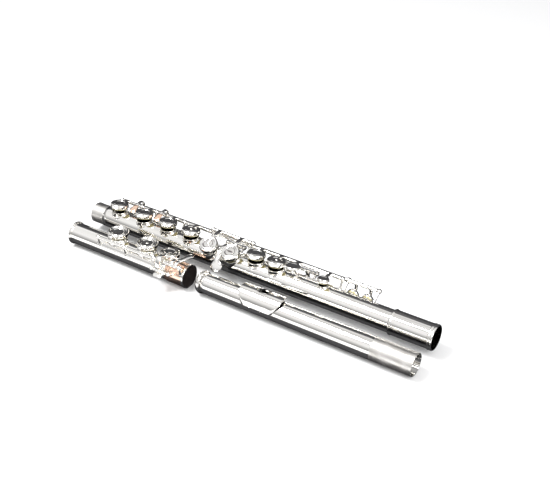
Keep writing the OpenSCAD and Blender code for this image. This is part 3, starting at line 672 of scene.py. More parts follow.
# %% Posts
def on_rim(tip, r):
    """(y, z) of a point at this radius on a clock angle."""
    return Vector((-r * math.sin(math.radians(tip)), r * math.cos(math.radians(tip))))


def post(at, foot, line, ball=BALL_R, neck=1.1):
    """A turned post from its foot on the tube to the ball round a rod."""
    rise = (line - foot).length
    lower = math.asin(min(1.0, neck / ball))
    arc = [(ball * math.sin(a), rise - ball * math.cos(a))
           for a in (lower + (math.pi - lower) * i / 14 for i in range(15))]
    profile = [(0, -0.6), (neck + 0.6, -0.6), (neck + 0.6, 0.35), (neck + 0.3, 0.6), (neck, 0.9),
               (neck * 0.92, rise * 0.5), (neck, arc[0][1] - 0.25), (neck + 0.22, arc[0][1] - 0.1), *arc]
    lean = math.atan2(line.x - foot.x, line.y - foot.y)
    matrix = Matrix.Translation((at, *foot)) @ Matrix.Rotation(-lean, 4, "X")
    return placed(lathe(profile, 32), matrix)


RIB_TOP = TUBE_R + RIB_THICK
THICK_BALL = BALL_R + 0.5
MAIN_POSTS = [21, 45.5, 62.5, 95, 128, 171, 191, 213.5, 261]
OFFSET_POSTS = [128, 171]
TRILL_POSTS = [37.5, 264.5, 293.5]
LOWER_POSTS = [139.5, 157.5, 198.5, 233]
FOOT_POSTS = [38.6, 69.1, 103.1, 130.5]
SIDE_POSTS = [103.1, 121.5]
TRILL_POST_TIP, LOWER_POST_TIP, SIDE_POST_TIP = -58, -79, 78
back = on_rim(MAIN_RIB_TIP, RIB_TOP)
posts = [post(at, back, MAIN) for at in MAIN_POSTS] + [post(at, MAIN, OFFSET) for at in OFFSET_POSTS]
handed_over(joined(posts), ON_BODY, "main_posts_turned", "silver", "body_section", "main_posts")
left, inner, right = TRILL_POSTS
on_rib = on_rim(TRILL_POST_TIP, RIB_TOP)
posts = [post(left, on_rib, TRILL), post(inner, on_rib, TRILL, THICK_BALL),
         post(right, on_rim(TRILL_POST_TIP, TUBE_R), TRILL)]
handed_over(joined(posts), ON_BODY, "trill_posts_turned", "silver", "body_section", "trill_posts")
posts = [post(at, on_rim(LOWER_POST_TIP, TUBE_R), LOWER) for at in LOWER_POSTS]
handed_over(joined(posts), ON_BODY, "lower_posts_turned", "silver", "body_section", "lower_posts")
front = on_rim(FOOT_RIB_TIP, RIB_TOP)
posts = [post(at, front, FOOT, THICK_BALL if at == SIDE_POSTS[0] else BALL_R) for at in FOOT_POSTS]
posts += [post(at, on_rim(SIDE_POST_TIP, RIB_TOP), SIDE) for at in SIDE_POSTS]
handed_over(joined(posts), ON_FOOT, "foot_posts_turned", "silver", "foot_joint", "foot_posts")

# %% Steels and needle springs
STEEL_SPLIT = 128
STEEL_OUT = 2


def steel(first, last, line):
    """A rod that stands a little out of its two end posts."""
    return bar_along(first - STEEL_OUT, last + STEEL_OUT, STEEL_R, line)


rods = [
    bar_along(MAIN_POSTS[0] - STEEL_OUT, STEEL_SPLIT - 0.1, STEEL_R, MAIN),
    bar_along(STEEL_SPLIT + 0.1, MAIN_POSTS[-1] + STEEL_OUT, STEEL_R, MAIN), steel(*OFFSET_POSTS, OFFSET),
    steel(*LOWER_POSTS[:2], LOWER), steel(*LOWER_POSTS[2:], LOWER),
]
handed_over(joined(rods), ON_BODY, "key_steel_rods", "steel", "body_section", "key_steels")
handed_over(steel(*SIDE_POSTS, SIDE), ON_FOOT, "foot_steel_rod", "steel", "foot_joint", "foot_steel")
trill_steel = steel(left, right, TRILL)
handed_over(trill_steel, ON_BODY, "d_sharp_trill_steel", "steel", "d_sharp_trill_key", "d_sharp_trill_rod")
spring_at = back + (MAIN - back) * 0.45
springs = [bar_along(at + 1.1, at + 12, 0.3, spring_at, 12, 0.1) for at in MAIN_POSTS[:8]]
handed_over(joined(springs), ON_BODY, "needle_spring_wires", "steel", "body_section", "needle_springs")

# %% [markdown]
# ## Cups and pads
# A cup is spun from sheet: a straight skirt, a rounded shoulder, a flat rim and a dished middle with
# a step. Its pad, felt under skin, sits in it and carries the ring that the tone hole has pressed.


# %% Cups and pads
def cup(r, height=CUP_H, dish=0.6, well=0.3, dimple=0.14):
    """A closed cup over a rim at z = 0: its land lies `well` deep and its floor `dish` deep."""
    unit = r / CUP_R
    bead_r = r * 0.62
    floor, land = height - dish, height - well
    bead = min(height, land + 0.3)
    roof = floor - SHEET
    return placed(lathe(rounded([
        (0, floor - dimple), (1.9 * unit, floor), (bead_r - 0.9 * unit, floor),
        (bead_r - 0.35 * unit, bead - 0.05), (bead_r, bead), (bead_r + 0.35 * unit, bead - 0.05),
        (bead_r + 0.7 * unit, land), (r - 2.0 * unit, land), (r - 1.5 * unit, height - 0.12),
        (r - 1.1 * unit, height - 0.05), (r - 0.45, height - 0.4), (r, height - 1.3), (r, 0.75),
        (r - 0.1, 0.3), (r - 0.3, 0), (r - 0.8, 0), (r - 1, 0.3), (r - 1, roof), (0, roof),
    ], 0.28)), Matrix.Translation((0, 0, SEAT)))


def pad(r, height=CUP_H, dish=0.6):
    """Its pad, with the ring that a rim has pressed in its face."""
    roof = SEAT + height - SHEET - dish
    rim_r = r - HOLE - 0.2
    return placed(lathe(rounded([
        (0, 0.12), (rim_r - 0.9, 0.1), (rim_r - 0.4, 0.3), (rim_r + 0.2, 0.3), (rim_r + 0.5, 0.1),
        (r - 1.25, 0.3), (r - 1.1, 0.7), (r - 1.1, roof), (0, roof),
    ], 0.2), 48), Matrix.Translation((0, 0, 0.05)))


def over(at, tip=0, rim=RIM):
    """Matrix that stands a cup or pad over its tone hole."""
    return clock(at, tip) @ Matrix.Translation((0, 0, rim))


def arm_point(at, tip, along, height):
    """A point in the plane of a tipped hole, `along` towards the back and `height` over the axis."""
    y, z = on_rim(tip, height) + along * Vector((math.cos(math.radians(tip)), math.sin(math.radians(tip))))
    return at, y, z


def pointed(at, r, tip=0, start_width=4.2):
    """The pointed arm that reaches over a cup to a small stud at its middle."""
    top = RIM + SEAT + CUP_H
    rows = [(*arm_point(at, tip, along, top + lift), width, thick) for along, lift, width, thick in (
        (r + 1.2, -0.22, start_width, 1.3), (r - 1, 0.15, 3.6, 1.1), (r * 0.45, 0.05, 2.1, 0.9),
        (0.4, -0.1, 0.9, 0.7))]
    stud = lathe([(0, 0.62), (0.45, 0.55), (0.85, 0.25), (0.95, 0), (0.95, -0.8), (0, -0.8)], 24)
    return [strap(rows), placed(stud, clock(at, tip) @ Matrix.Translation((0, 0, top - 0.2)))]


def between(left, right):
    """Span of a hinge tube between two posts, clear of their balls."""
    return left + BALL_R + 0.1, right - BALL_R - 0.1


def key_made(key, parts, skin, place):
    """Hands over the silver and the pad of a key."""
    handed_over(joined(parts), place, key + "_silver", "silver", key + "_key", key + "_key")
    handed_over(skin, place, key + "_skin", "pad_skin", key + "_key", key + "_pad")


# %% [markdown]
# ## Keys of the main line
# Each key is a cup, an arm and a hinge tube on the same steel. The keys rest open, so each is built
# closed and then turned about its rod by what its joint allows.


# %% Line keys
def line_key(key, start, end, has_point):
    """Cup, arm and tube of a key on the main line."""
    at = AT[key]
    arm = strap([
        (at, MAIN.x - 0.4, MAIN.y + 1.3, 5.2, 1.8), (at, MAIN.x - 2.4, MAIN.y + 2.3, 4.4, 1.9),
        (at, CUP_R + 0.8, RIM + 3.85, 3.8, 1.9), (at, CUP_R - 0.6, RIM + 3.75, 3.4, 1.6),
    ])
    parts = [placed(cup(CUP_R), over(at)), arm, sleeve(start, end, MAIN)]
    if has_point:
        parts += pointed(at, CUP_R)
    place = held_open(key + "_turn", ON_BODY)
    handed_over(joined(parts), place, key + "_key_silver", "silver", key + "_key", key + "_key")
    skin = placed(pad(CUP_R), over(at))
    handed_over(skin, place, key + "_pad_skin", "pad_skin", key + "_key", key + "_pad")


for key in ("d", "e", "f", "f_sharp", "a", "b_flat"):
    near = sorted(sorted(MAIN_POSTS, key=lambda p: abs(p - AT[key]))[:2])
    line_key(key, *between(*near), key in ("f_sharp", "b_flat"))


# %% Offset G keys, bridge lever and the small C key
def tipped_arm(at, tip, line):
    """An arm from a rod over to the shoulder of a tipped cup."""
    _, y1, z1 = arm_point(at, tip, CUP_R + 2.4, RIM + 3.3)
    _, y2, z2 = arm_point(at, tip, CUP_R - 0.5, RIM + 3.5)
    return strap([
        (at, line.x - 0.3, line.y + 1.2, 5, 1.7), (at, line.x - 3.6, line.y + 1.9, 4, 1.8),
        (at, y1, z1, 3.6, 1.8), (at, y2, z2, 3.4, 1.5),
    ])


def painted_shade_lines(slot_length):
    """Painted shade: a dark line at the foot of a cup's bead and a dark slot at its middle, where shade falls
    in the cup.
    """
    floor = SEAT + CUP_H - 0.6
    line = lathe([(3.95, floor - 0.1), (4.45, floor - 0.1), (4.45, floor + 0.06), (3.95, floor + 0.06),
                  (3.95, floor - 0.1)], 48)
    slot = lathe([(0, floor - 0.2), (1, floor - 0.2), (1, floor + 0.04), (0, floor + 0.04)], 24)
    return joined([line, placed(slot, Matrix.Diagonal((slot_length / 2, 0.8, 1, 1)))])


parts = [sleeve(*between(*OFFSET_POSTS), OFFSET)]
skins, shade_marks = [], []
for key in ("low_g", "g"):
    parts += [placed(cup(CUP_R), over(AT[key], OFFSET_TIP)), tipped_arm(AT[key], OFFSET_TIP, OFFSET)]
    # Painted shade: a near-black ring and slot laid in each G cup's dish.
    shade_marks.append(placed(painted_shade_lines(6.0 if key == "g" else 2.4), over(AT[key], OFFSET_TIP)))
    skins.append(placed(pad(CUP_R), over(AT[key], OFFSET_TIP)))
parts += pointed(AT["low_g"], CUP_R - 0.5, OFFSET_TIP, start_width=3.4)
place = held_open("offset_g_turn", ON_BODY)
handed_over(joined(parts), place, "offset_g_silver", "silver", "offset_g_key", "offset_g_key")
handed_over(joined(shade_marks), place, "offset_g_painted_shade", "painted_shade", "offset_g_key", slot="silver")
handed_over(joined(skins), place, "offset_g_skins", "pad_skin", "offset_g_key", "offset_g_pads")

start, end = reach("bridge_lever", ON_BODY)
parts = [sleeve(start, end, MAIN)]
for at in (start + 2, end - 2):
    parts.append(strap([
        (at, MAIN.x, MAIN.y - 1.1, 3.2, 1.4), (at, MAIN.x - 0.9, MAIN.y - 1.9, 2.8, 1.3),
        (at, MAIN.x - 1.6, MAIN.y - 2.5, 2.6, 1.2),
    ]))
handed_over(joined(parts), ON_BODY, "bridge_silver", "silver", "bridge_lever", "bridge_lever")

TOUCH_AT = 219.5
at = AT["c"]
plate = lathe(rounded([
    (0, 2.25), (3.8, 2.1), (4.6, 2.5), (5.9, 2.5), (6.5, 1.8), (6.5, 0.7), (5.9, 0), (0, 0),
], 0.35), 64)
parts = [
    sleeve(*between(*MAIN_POSTS[-2:]), MAIN),
    placed(cup(SMALL_R, SMALL_CUP_H, 0.3, 0.15), over(at, 0, SMALL_RIM)),
    placed(plate, Matrix.Translation((TOUCH_AT, 0, RIM + 2.7))),
    strap([(TOUCH_AT, MAIN.x - 0.4, MAIN.y + 1.3, 5, 1.7), (TOUCH_AT, 9, 15.9, 4.2, 1.8),
           (TOUCH_AT, 5.6, 15.9, 3.8, 1.6)]),
    strap([(at, MAIN.x - 0.4, MAIN.y + 1.1, 4, 1.5), (at, 9, 14.8, 3.2, 1.5), (at, 4.8, 14.7, 2.8, 1.3)]),
]
place = held_open("c_turn", ON_BODY)
handed_over(joined(parts), place, "c_key_silver", "silver", "c_key", "c_key")
skin = placed(pad(SMALL_R, SMALL_CUP_H, 0.3), over(at, 0, SMALL_RIM))
handed_over(skin, place, "c_pad_skin", "pad_skin", "c_key", "c_pad")


# %% [markdown]
# ## Trill keys
# Their rods lie behind the main line. The touches reach forward over it, between the right hand's
# cups, and are warm where the plate has thinned. The two small cups sit on the back of the tube.

# %% Trill keys
def trill_parts(touch_at, cup_at):
    """Arms, touch and cup of one trill key: the silver parts and the touch."""
    x = touch_at
    touch_arm = strap([
        (x, TRILL.x + 0.4, TRILL.y + 1.2, 3.4, 1.4), (x, TRILL.x + 0.5, TRILL.y + 3.6, 2.9, 1.4),
        (x, MAIN.x + 2.2, MAIN.y + 4.3, 2.7, 1.4), (x, MAIN.x - 2.4, MAIN.y + 4.6, 2.7, 1.3),
        (x, MAIN.x - 5, MAIN.y + 4.1, 3.6, 1.2),
    ])
    cup_arm = strap([
        (cup_at, TRILL.x + 0.4, TRILL.y - 1.2, 3.4, 1.4), (cup_at, TRILL.x + 1.4, 7, 2.9, 1.4),
        (cup_at, 18.1, 3.1, 2.7, 1.4), (cup_at, 15.7, 1.7, 2.7, 1.2),
    ])
    tip = placed(cup(SMALL_R, SMALL_CUP_H, 0, 0), over(cup_at, TRILL_TIP, SMALL_RIM))
    touch_place = Matrix.Translation((x, MAIN.x - 4.6, MAIN.y + 3.9))
    touch_place = touch_place @ Matrix.Rotation(math.pi, 4, "Z") @ Matrix.Rotation(math.radians(-20), 4, "X")
    return [touch_arm, cup_arm, tip], placed(pillow(paddle(9.5, 4.4, 3.4), 1.2, 0.35), touch_place)


start, end = reach("d_trill_tube", ON_BODY)
handed_over(sleeve(start, end, TRILL), ON_BODY, "d_trill_sleeve", "silver", "d_trill_key", "d_trill_tube")
first, last = between(left, right)
collars = [sleeve(first, start - 0.3, TRILL, STEEL_R), sleeve(end + 0.3, last, TRILL, STEEL_R)]
for key, touch_at, extra in (("d_trill", 71.4, []), ("d_sharp_trill", 43.0, collars)):
    parts, touch = trill_parts(touch_at, AT[key])
    skin = placed(pad(SMALL_R, SMALL_CUP_H, 0), over(AT[key], TRILL_TIP, SMALL_RIM))
    key_made(key, parts + extra, skin, ON_BODY)
    handed_over(touch, ON_BODY, key + "_touch", "socket", key + "_key")

# %% [markdown]
# ## G sharp and thumb keys
# The G sharp touch is the one big teardrop at the front: its lever runs right over the tube between
# the G cups. The thumb keys hang behind and below, where the left thumb finds them.

# %% G sharp key
LEVER = 148.6
LEVER_R = TUBE_R + 4.3
rows = [(LEVER, LOWER.x - 1.2, LOWER.y + 0.6, 3.4, 1.8)]
for tip in range(-62, 66, 14):
    y, z = on_rim(tip, LEVER_R)
    rows.append((LEVER, y, z, 2.6 + 0.5 * (tip > 30), 1.7))
neck = on_rim(58, LEVER_R)
touch_place = (Matrix.Translation((LEVER, neck.x + 1, neck.y + 1.6)) @ Matrix.Rotation(math.pi, 4, "Z")
               @ Matrix.Rotation(math.radians(-50), 4, "X") @ Matrix.Rotation(math.radians(18), 4, "Z"))
at = AT["g_sharp"]
parts = [
    sleeve(*between(*LOWER_POSTS[:2]), LOWER), strap(rows, 3),
    placed(pillow(paddle(13.5, 3.4, 6.2, 56), 1.5, 0.5, 0.5), touch_place),
    placed(cup(G_SHARP_R), over(at, G_SHARP_TIP)),
    strap([(at, LOWER.x + 0.6, LOWER.y - 1.2, 5, 1.6), (at, LOWER.x + 0.9, LOWER.y - 6.1, 4.2, 1.6),
           (*arm_point(at, G_SHARP_TIP, -5.1, RIM + 6.7), 4, 1.6),
           (*arm_point(at, G_SHARP_TIP, -1, RIM + 5.2), 3.6, 1.4)]),
]
key_made("g_sharp", parts, placed(pad(G_SHARP_R), over(at, G_SHARP_TIP)), ON_BODY)

# %% Thumb keys
at = AT["thumb_b"]
first, last = between(*LOWER_POSTS[2:])
place = held_open("thumb_b_turn", ON_BODY)
parts = [
    sleeve(at - 8, last, LOWER), placed(cup(THUMB_R), over(at, THUMB_TIP)),
    strap([(at, LOWER.x + 0.4, LOWER.y - 1.3, 5, 1.5), (at, LOWER.x + 0.9, LOWER.y - 4.6, 4.2, 1.6),
           (*arm_point(at, THUMB_TIP, -4.05, RIM + 6.7), 4, 1.5),
           (*arm_point(at, THUMB_TIP, -0.2, RIM + 5), 3.8, 1.3)]),
    strap([(at, 12.3, -12.6, 10.4, 1.1), (at, 9.4, -13.2, 11, 1.1), (at, 6.4, -13, 11, 1.1),
           (at, 3.4, -11.9, 9.6, 1)]),
]
key_made("thumb_b", parts, placed(pad(THUMB_R), over(at, THUMB_TIP)), place)
last = at - 8.2
mid = (first + last) / 2
parts = [sleeve(first, last, LOWER), strap([
    (mid, LOWER.x, LOWER.y - 1.3, 7.4, 1.5), (mid, 17.2, -2, 8, 1.5), (mid, 14.2, -8, 8, 1.5),
    (mid, 10, -12.2, 8, 1.5), (mid, 6.4, -13, 8, 1.4), (mid, 3.4, -11.9, 7, 1.2)])]
flat_lever = joined(parts)
handed_over(flat_lever, place, "thumb_b_flat_silver", "silver", "thumb_b_flat_lever", "thumb_b_flat_lever")

# %% [markdown]
# ## Head joint
# The head tapers towards the crown. The lip plate is a curved shell on a short riser, and the hole
# in it is cut through to the bore. Inside, a cork stopper closes the tube beside that hole.

# %% Head tube, tenon and crown
EMBOUCHURE = 66.5
HOLE_TIP = -20
SMALL_HEAD_R, LARGE_BORE = 9.2, BORE_R - 0.1
SMALL_BORE = SMALL_HEAD_R - 0.6
start, end = reach("head_tube", ON_HEAD)
taper_end = reach("head_tenon", ON_HEAD)[0]


def oval(along, across, points=64, power=2.3):
    """An oval outline in its own plane."""
    result = []
    for i in range(points):
        a = math.tau * i / points
        c, s = math.cos(a), math.sin(a)
        x, y = along * abs(c) ** (2 / power), across * abs(s) ** (2 / power)
        result.append((math.copysign(x, c), math.copysign(y, s)))
    return result


def hole_plug(bottom, top):
    """The solid that the embouchure hole takes away."""
    outline = oval(6.0, 5.0)
    rings = [[Vector((x, y, z)) for x, y in outline] for z in (bottom, top)]
    return placed(loft(rings), clock(EMBOUCHURE, HOLE_TIP))


count = 44
stations = []
for i in range(count + 1):
    x = start + (end - start) * i / count
    share = min(1.0, (x - start) / (taper_end - start))
    r = SMALL_HEAD_R + (TUBE_R - SMALL_HEAD_R) * share if x < taper_end else TUBE_R - 0.2
    stations.append((x, r))
tube = placed(wall(stations, (SMALL_BORE, LARGE_BORE)))
pipe = carved(tube, hole_plug(3, 14))
handed_over(pipe, ON_HEAD, "head_pipe", "silver", "head_joint", "head_tube", angle=None)
start, end = reach("head_tenon", ON_HEAD)
TENON_BORE = TUBE_R - 0.2
stations = [(start + (end - start) * i / 9, TUBE_R) for i in range(10)]
tenon = wall(stations, (TENON_BORE, TENON_BORE), edge=0.15)
handed_over(tenon, ON_HEAD, "head_tenon_satin", "satin", "head_joint", "head_tenon")
crown = placed(lathe(rounded([
    (0, 0), (3.6, 0.2), (6.8, 0.95), (8.9, 2.3), (9.9, 3.9), (9.95, 4.6), (10.3, 4.95), (10.4, 5.5),
    (10.3, 6.0), (9.9, 6.45), (9.2, 6.55), (8.55, 6.55), (8.55, 11.5), (7.75, 11.5), (7.75, 4.4), (3.5, 4.4),
    (3.5, 9.6), (1.55, 9.6), (1.55, 1.6), (0, 1.6),
], 0.35), 96), ALONG_X)
handed_over(crown, ON_HEAD, "crown_turned", "silver", "crown", "crown")

# %% Lip plate and riser
PLATE_R, PLATE_AXIS, PLATE_L, PLATE_W = 11.4, Vector((1.0, 1.8)), 41.5, 11.0
LIFT = 12.2


def plate_height(y, r):
    """Height over the tube's axis of a round shell on the plate's own axis."""
    return PLATE_AXIS.y + math.sqrt(max(0.0, r * r - (y - PLATE_AXIS.x) ** 2))


def plate_ring(share, r):
    """A ring between the hole (0) and the outline (1), laid on a round shell."""
    tip = math.radians(HOLE_TIP)
    hole_y = -LIFT * math.sin(tip)
    result = []
    for (hx, hy), (ox, oy) in zip(oval(6.0, 5.0, 96), oval(PLATE_L / 2, PLATE_W, 96, 3.4)):
        x = hx + (ox - hx) * share
        inner_y = hole_y + hy * math.cos(tip)
        y = inner_y + (oy - inner_y) * share
        y = max(-PLATE_W, min(PLATE_W, y))
        result.append(Vector((EMBOUCHURE + x, y, plate_height(y, r))))
    return result


levels = [(0.0, PLATE_R - 1.0), (0.0, PLATE_R - 0.35), (0.02, PLATE_R - 0.08), (0.06, PLATE_R)]
levels += [(0.06 + 0.9 * i / 12, PLATE_R) for i in range(1, 13)]
levels += [(share, PLATE_R - fall) for share, fall in (
    (0.985, 0.05), (0.997, 0.2), (1.0, 0.45), (1.0, 0.8), (0.99, 1.0))]
levels += [(0.97 - 0.97 * i / 8, PLATE_R - 1.0) for i in range(9)]
plate = loft([plate_ring(*level) for level in levels], capped=False)
handed_over(plate, ON_HEAD, "lip_plate_shell", "silver", "head_joint", "lip_plate", angle=40)
riser_rings = []
for grow, height in ((1.0, 8.6), (1.0, PLATE_R - 0.4), (0.0, PLATE_R - 0.4), (0.0, 8.6), (1.0, 8.6)):
    riser_rings.append([Vector((x, y, height)) for x, y in oval(6.05 + grow, 5.05 + grow)])
riser = placed(loft(riser_rings, capped=False), clock(EMBOUCHURE, HOLE_TIP))
handed_over(riser, ON_HEAD, "riser_wall", "silver", "head_joint", "embouchure_riser")

# %% Stopper
FACE = EMBOUCHURE - 17
handed_over(bar_along(4.2, FACE - 1, 1.5), ON_HEAD, "stopper_screw", "steel", "stopper", "stopper_rod")
corks = placed(lathe(rounded([(1.5, FACE - 15.5), (8.66, FACE - 15.5), (8.66, FACE - 1.5), (1.5, FACE - 1.5),
                              (1.5, FACE - 15.5)], 0.5), 64), ALONG_X)
handed_over(corks, ON_HEAD, "stopper_cork_plug", "cork", "stopper", "stopper_cork")
plates = [bar_along(x, x + 1.5, SMALL_BORE - 0.2, turns=64) for x in (FACE - 17, FACE - 1.5)]
handed_over(joined(plates), ON_HEAD, "stopper_discs", "silver", "stopper", "stopper_plates")

# %% [markdown]
# ## Foot joint
# Two large cups stand open on one rod, and the D sharp cup beside the socket is closed at rest. The
# rollers let the little finger slide from touch to touch.

# %% Foot tube, end ring and socket
FOOT_R, D_SHARP_R = 9.6, 9.0
FOOT_AT = {key: station(key + "_pad", ON_FOOT) for key in ("foot_c", "foot_c_sharp", "foot_d_sharp")}
foot_holes = [(FOOT_AT[key], 0, r - HOLE, RIM)
              for key, r in (("foot_c", FOOT_R), ("foot_c_sharp", FOOT_R), ("foot_d_sharp", D_SHARP_R))]
cut, chimneys = holed(*reach("foot_tube", ON_FOOT), foot_holes)
handed_over(cut, ON_FOOT, "foot_pipe", "silver", "foot_joint", "foot_tube", angle=None)
handed_over(joined(chimneys), ON_FOOT, "foot_chimneys", "silver", "foot_joint")
start, end = reach("foot_end_ring", ON_FOOT)
ring = placed(lathe([
    (TUBE_R - 0.02, start), (10.3, start), (10.7, start + 0.2), (10.9, start + 0.6), (10.9, start + 1.2),
    (10.65, start + 1.65), (10.35, start + 1.8), (10.4, start + 2.4), (10.3, end - 0.1), (TUBE_R - 0.02, end),
    (TUBE_R - 0.02, start),
], 96), ALONG_X)
handed_over(ring, ON_FOOT, "foot_end_bead", "silver", "foot_joint", "foot_end_ring")
start, end = reach("foot_socket", ON_FOOT)
SOCKET_BORE = 9.66
socket = placed(wall([
    (start, 10.52), (start + 1, 10.52), (start + 8, 10.52), (end - 2.3, 10.52), (end - 2.25, 10.52),
], (SOCKET_BORE, SOCKET_BORE)))
handed_over(socket, ON_FOOT, "foot_socket_shell", "socket", "foot_joint", "foot_socket")
bead_ring = placed(wall([
    (end - 2.3, 10.6), (end - 2.0, 10.7), (end - 1.7, 10.85), (end - 0.9, 10.87), (end, 10.87),
], (SOCKET_BORE, SOCKET_BORE)))
handed_over(bead_ring, ON_FOOT, "foot_socket_bead", "silver", "foot_joint")
# Painted shade: a near-black sleeve just inside the socket's bore, so its open end reads dark and deep.
painted_shade = placed(wall([(118.8, 9.7), (125, 9.7), (end - 0.3, 9.7)], (9.62, 9.62), edge=0.01))
handed_over(painted_shade, ON_FOOT, "foot_socket_painted_shade", "painted_shade", "foot_joint", slot="socket")


# %% Foot keys
def foot_arm(at, r):
    """An arm from the foot rod to a cup's shoulder."""
    return strap([
        (at, FOOT.x + 0.5, FOOT.y + 1.3, 5.6, 1.8), (at, FOOT.x + 1.6, RIM + 3.6, 4.8, 1.9),
        (at, -r - 0.4, RIM + 3.8, 4.2, 1.8), (at, 0.8 - r, RIM + 3.7, 3.8, 1.5),
    ])


FOOT_DISH = 1.5


def foot_cup(r):
    """A tall cup whose top is deeply recessed inside a thin rim."""
    return cup(r, CUP_H, FOOT_DISH, 1.2)


place = held_open("foot_c_turn", ON_FOOT)
at, touch_at = FOOT_AT["foot_c"], 126.3
first, last = between(FOOT_POSTS[1], FOOT_POSTS[-1])
touch_place = Matrix.Translation((touch_at, FOOT.x + 4.6, FOOT.y + 2.6))
touch_place = touch_place @ Matrix.Rotation(math.radians(-16), 4, "Z")
parts = [
    sleeve(*between(*FOOT_POSTS[:2]), FOOT, STEEL_R), foot_arm(at, FOOT_R),
    sleeve(touch_at - 1.8, last, FOOT, STEEL_R), placed(foot_cup(FOOT_R), over(at)),
    strap([(touch_at, FOOT.x + 0.6, FOOT.y + 1.3, 3.6, 1.6), (touch_at, FOOT.x + 2, FOOT.y + 2.4, 3.2, 1.6),
           (touch_at, FOOT.x + 5.6, FOOT.y + 2.6, 3.2, 1.5)]),
    placed(pillow(paddle(16, 3.6, 3, 48), 1.5, 0.45, 0.45), touch_place),
]
key_made("foot_c", parts, placed(pad(FOOT_R, CUP_H, FOOT_DISH), over(at)), place)
foot_steel = steel(FOOT_POSTS[0], FOOT_POSTS[-1], FOOT)
handed_over(foot_steel, place, "foot_c_steel", "steel", "foot_c_key", "foot_c_rod")

place = held_open("foot_c_sharp_turn", ON_FOOT)
at, to = FOOT_AT["foot_c_sharp"], FOOT_POSTS[-1] - 6.3
roller = FOOT + Vector((7.7, 2.4))
stud = lathe([(0, 0.5), (0.6, 0.45), (1.0, 0.2), (1.1, 0), (1.1, -0.8), (0, -0.8)], 24)
parts = [
    sleeve(first, to, FOOT), foot_arm(at, FOOT_R), placed(foot_cup(FOOT_R), over(at)),
    placed(stud, over(at) @ Matrix.Translation((0, 0, SEAT + CUP_H - FOOT_DISH))),
    strap([(to - 2.4, FOOT.x + 0.6, FOOT.y + 1.3, 4, 1.6), (to - 2.4, FOOT.x + 2, FOOT.y + 2.4, 3.4, 1.6),
           (to - 2.4, roller.x - 1.9, roller.y, 4.6, 1.3)]),
    bar_along(to - 4.8, to - 4.0, 1.4, roller), bar_along(to - 0.8, to, 1.4, roller),
    bar_along(to - 4.8, to, 0.5, roller, edge=0.1),
]
key_made("foot_c_sharp", parts, placed(pad(FOOT_R, CUP_H, FOOT_DISH), over(at)), place)


def roller_piece(start, end, at, r):
    """A little barrel that turns on its pin."""
    profile = [(0.55, start), (r * 0.8, start), (r * 0.95, start + 0.3), (r, (start + end) / 2),
               (r * 0.95, end - 0.3), (r * 0.8, end), (0.55, end), (0.55, start)]
    return placed(lathe(rounded(profile, 0.2), 32), Matrix.Translation((0, *at)) @ ALONG_X)


barrel = roller_piece(to - 3.9, to - 0.9, roller, 1.0)
handed_over(barrel, place, "c_sharp_roller_barrel", "silver", "c_sharp_roller", "c_sharp_roller")

at = FOOT_AT["foot_d_sharp"]
start, end = between(*SIDE_POSTS)
side_roller = SIDE + Vector((-3.9, 2.3))
parts = [
    sleeve(start, end, SIDE), placed(cup(D_SHARP_R, CUP_H, 0.4, 0.2), over(at)),
    strap([(at, SIDE.x - 0.8, SIDE.y + 1.2, 5, 1.6), (at, SIDE.x - 2.1, SIDE.y + 5.9, 4.6, 1.6),
           (at, FOOT.x - 3.4, FOOT.y + 3.2, 4.6, 1.6), (at, FOOT.x + 0.6, FOOT.y + 4.9, 4.6, 1.6),
           (at, 1 - D_SHARP_R, RIM + 5.0, 4.4, 1.4)]),
    strap([(end - 5, SIDE.x - 1.1, SIDE.y - 0.2, 8.6, 1.4), (end - 5, SIDE.x - 2.5, SIDE.y + 0.1, 9, 1.4),
           (end - 5, SIDE.x - 5.9, SIDE.y - 0.7, 9, 1.4), (end - 5, SIDE.x - 7.7, SIDE.y - 2.1, 7.6, 1.2)]),
    bar_along(end - 9.8, end - 0.2, 0.5, side_roller, edge=0.1),
]
for x in (end - 9.4, end - 0.6):
    parts.append(strap([
        (x, side_roller.x + 1, side_roller.y - 2.2, 0.9, 1.6), (x, side_roller.x, side_roller.y, 0.9, 1.6),
    ]))
key_made("foot_d_sharp", parts, placed(pad(D_SHARP_R, CUP_H, 0.4), over(at)), ON_FOOT)
barrel = roller_piece(end - 8.8, end - 1.2, side_roller, 1.1)
handed_over(barrel, ON_FOOT, "d_sharp_roller_barrel", "silver", "d_sharp_roller", "d_sharp_roller")

# %% [markdown]
# ## Studio
# Silver shows only what stands around it, so the set is built for its mirrors. A dark card stands
# behind: the level cup tops turn black in it, and it draws a thin line along each tube. A dark bed
# lies under the sections and reaches back to that card, and edges them against the pale floor.
# Overhead it is white. The camera sees neither of the cards.


# %% Studio
def stage_material(name, colour):
    """A plain dull material of the set."""
    material = bpy.data.materials.new(name)
    material.use_nodes = True
    shader = material.node_tree.nodes["Principled BSDF"]
    shader.inputs["Base Color"].default_value = (*colour, 1)
    shader.inputs["Roughness"].default_value = 0.7
    return material


def card(name, corners, material, seen_by_camera=False):
    """A flat card through four corners in metres, seen in mirrors only."""
    fresh()
    bpy.ops.mesh.primitive_plane_add(size=1)
    piece = bpy.context.object
    order = sorted(piece.data.vertices, key=lambda v: math.atan2(v.co.y, v.co.x))
    for v, corner in zip(order, corners):
        v.co = corner
    piece.name = piece.data.name = name
    piece.data.materials.append(material)
    piece.visible_camera = seen_by_camera
    piece.visible_shadow = seen_by_camera
    piece.visible_diffuse = seen_by_camera
    piece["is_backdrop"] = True
    return piece


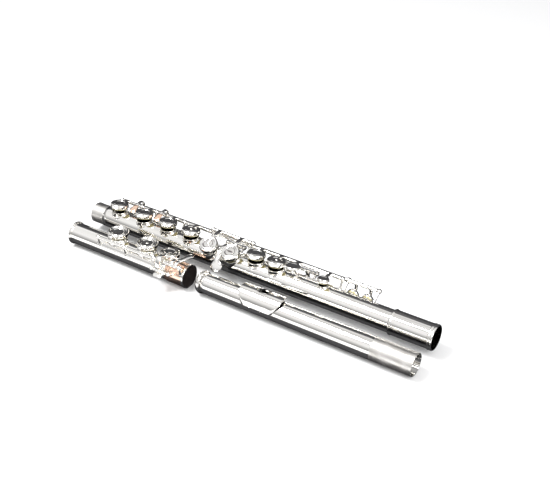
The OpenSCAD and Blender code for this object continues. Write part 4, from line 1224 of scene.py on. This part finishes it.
white = stage_material("floor_white", (0.86, 0.86, 0.86))
floor = card("floor", [(-3, -3, 0), (3, -3, 0), (3, 3, 0), (-3, 3, 0)], white, True)
floor.visible_diffuse = True
velvet = stage_material("card_black", (0.008, 0.008, 0.011))
card("back_card", [(-0.55, 0.17, 0.0), (0.34, 0.17, 0.0), (0.34, 0.22, 0.28), (-0.55, 0.20, 0.42)], velvet)
bed = [(-0.40, -0.045), (0.21, -0.045), (0.24, 0.17), (-0.45, 0.17)]
card("bed_card", [(x, y, 0.0004) for x, y in bed], velvet)


def studio_world():
    """White for the camera; for mirrors and shade, grey at the horizon and white overhead."""
    world = bpy.data.worlds.new("studio")
    bpy.context.scene.world = world
    world.use_nodes = True
    tree = world.node_tree
    sky = tree.nodes["Background"]
    backdrop = tree.nodes.new("ShaderNodeBackground")
    backdrop.inputs["Strength"].default_value = 1.0
    backdrop.inputs["Color"].default_value = (1, 1, 1, 1)
    place = add(tree, "TexCoord")
    height = add(tree, "SeparateXYZ")
    ramp = add(tree, "ValToRGB")
    for position, level in ((0.0, 0.30), (0.18, 0.42), (0.55, 0.97), (0.78, 0.93), (0.91, 0.66), (1.0, 0.82)):
        stop = ramp.color_ramp.elements.new(position)
        stop.color = (level, level, level * 1.01, 1)
    for stop in (ramp.color_ramp.elements[-1], ramp.color_ramp.elements[0]):
        ramp.color_ramp.elements.remove(stop)
    ray = add(tree, "LightPath")
    mix = tree.nodes.new("ShaderNodeMixShader")
    wire(tree,
        (place, "Generated", height, "Vector"), (height, "Z", ramp, "Fac"), (ramp, "Color", sky, "Color"),
        (ray, "Is Camera Ray", mix, "Fac"), (sky, "Background", mix, 1), (backdrop, "Background", mix, 2),
        (mix, "Shader", tree.nodes["World Output"], "Surface"))


studio_world()


def soft_light(name, location, target, size, power):
    """A square area light that faces a point."""
    bpy.ops.object.light_add(type="AREA", location=location)
    light = bpy.context.object
    light.name = name
    light.data.size = size
    light.data.energy = power
    aim = Vector(target) - Vector(location)
    light.rotation_euler = aim.to_track_quat("-Z", "Y").to_euler()


soft_light("key_light", (-0.35, -0.25, 0.9), (0, 0, 0), 0.35, 9)
soft_light("side_light", (0.75, -0.35, 0.55), (0, 0, 0), 0.4, 5)

bpy.context.scene.view_settings.view_transform = "Standard"
visual_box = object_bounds()
for label, box in (("cad", cad_box), ("visual", visual_box)):
    print(label, "box in millimetres:", [[round(c / MM, 2) for c in corner] for corner in box])
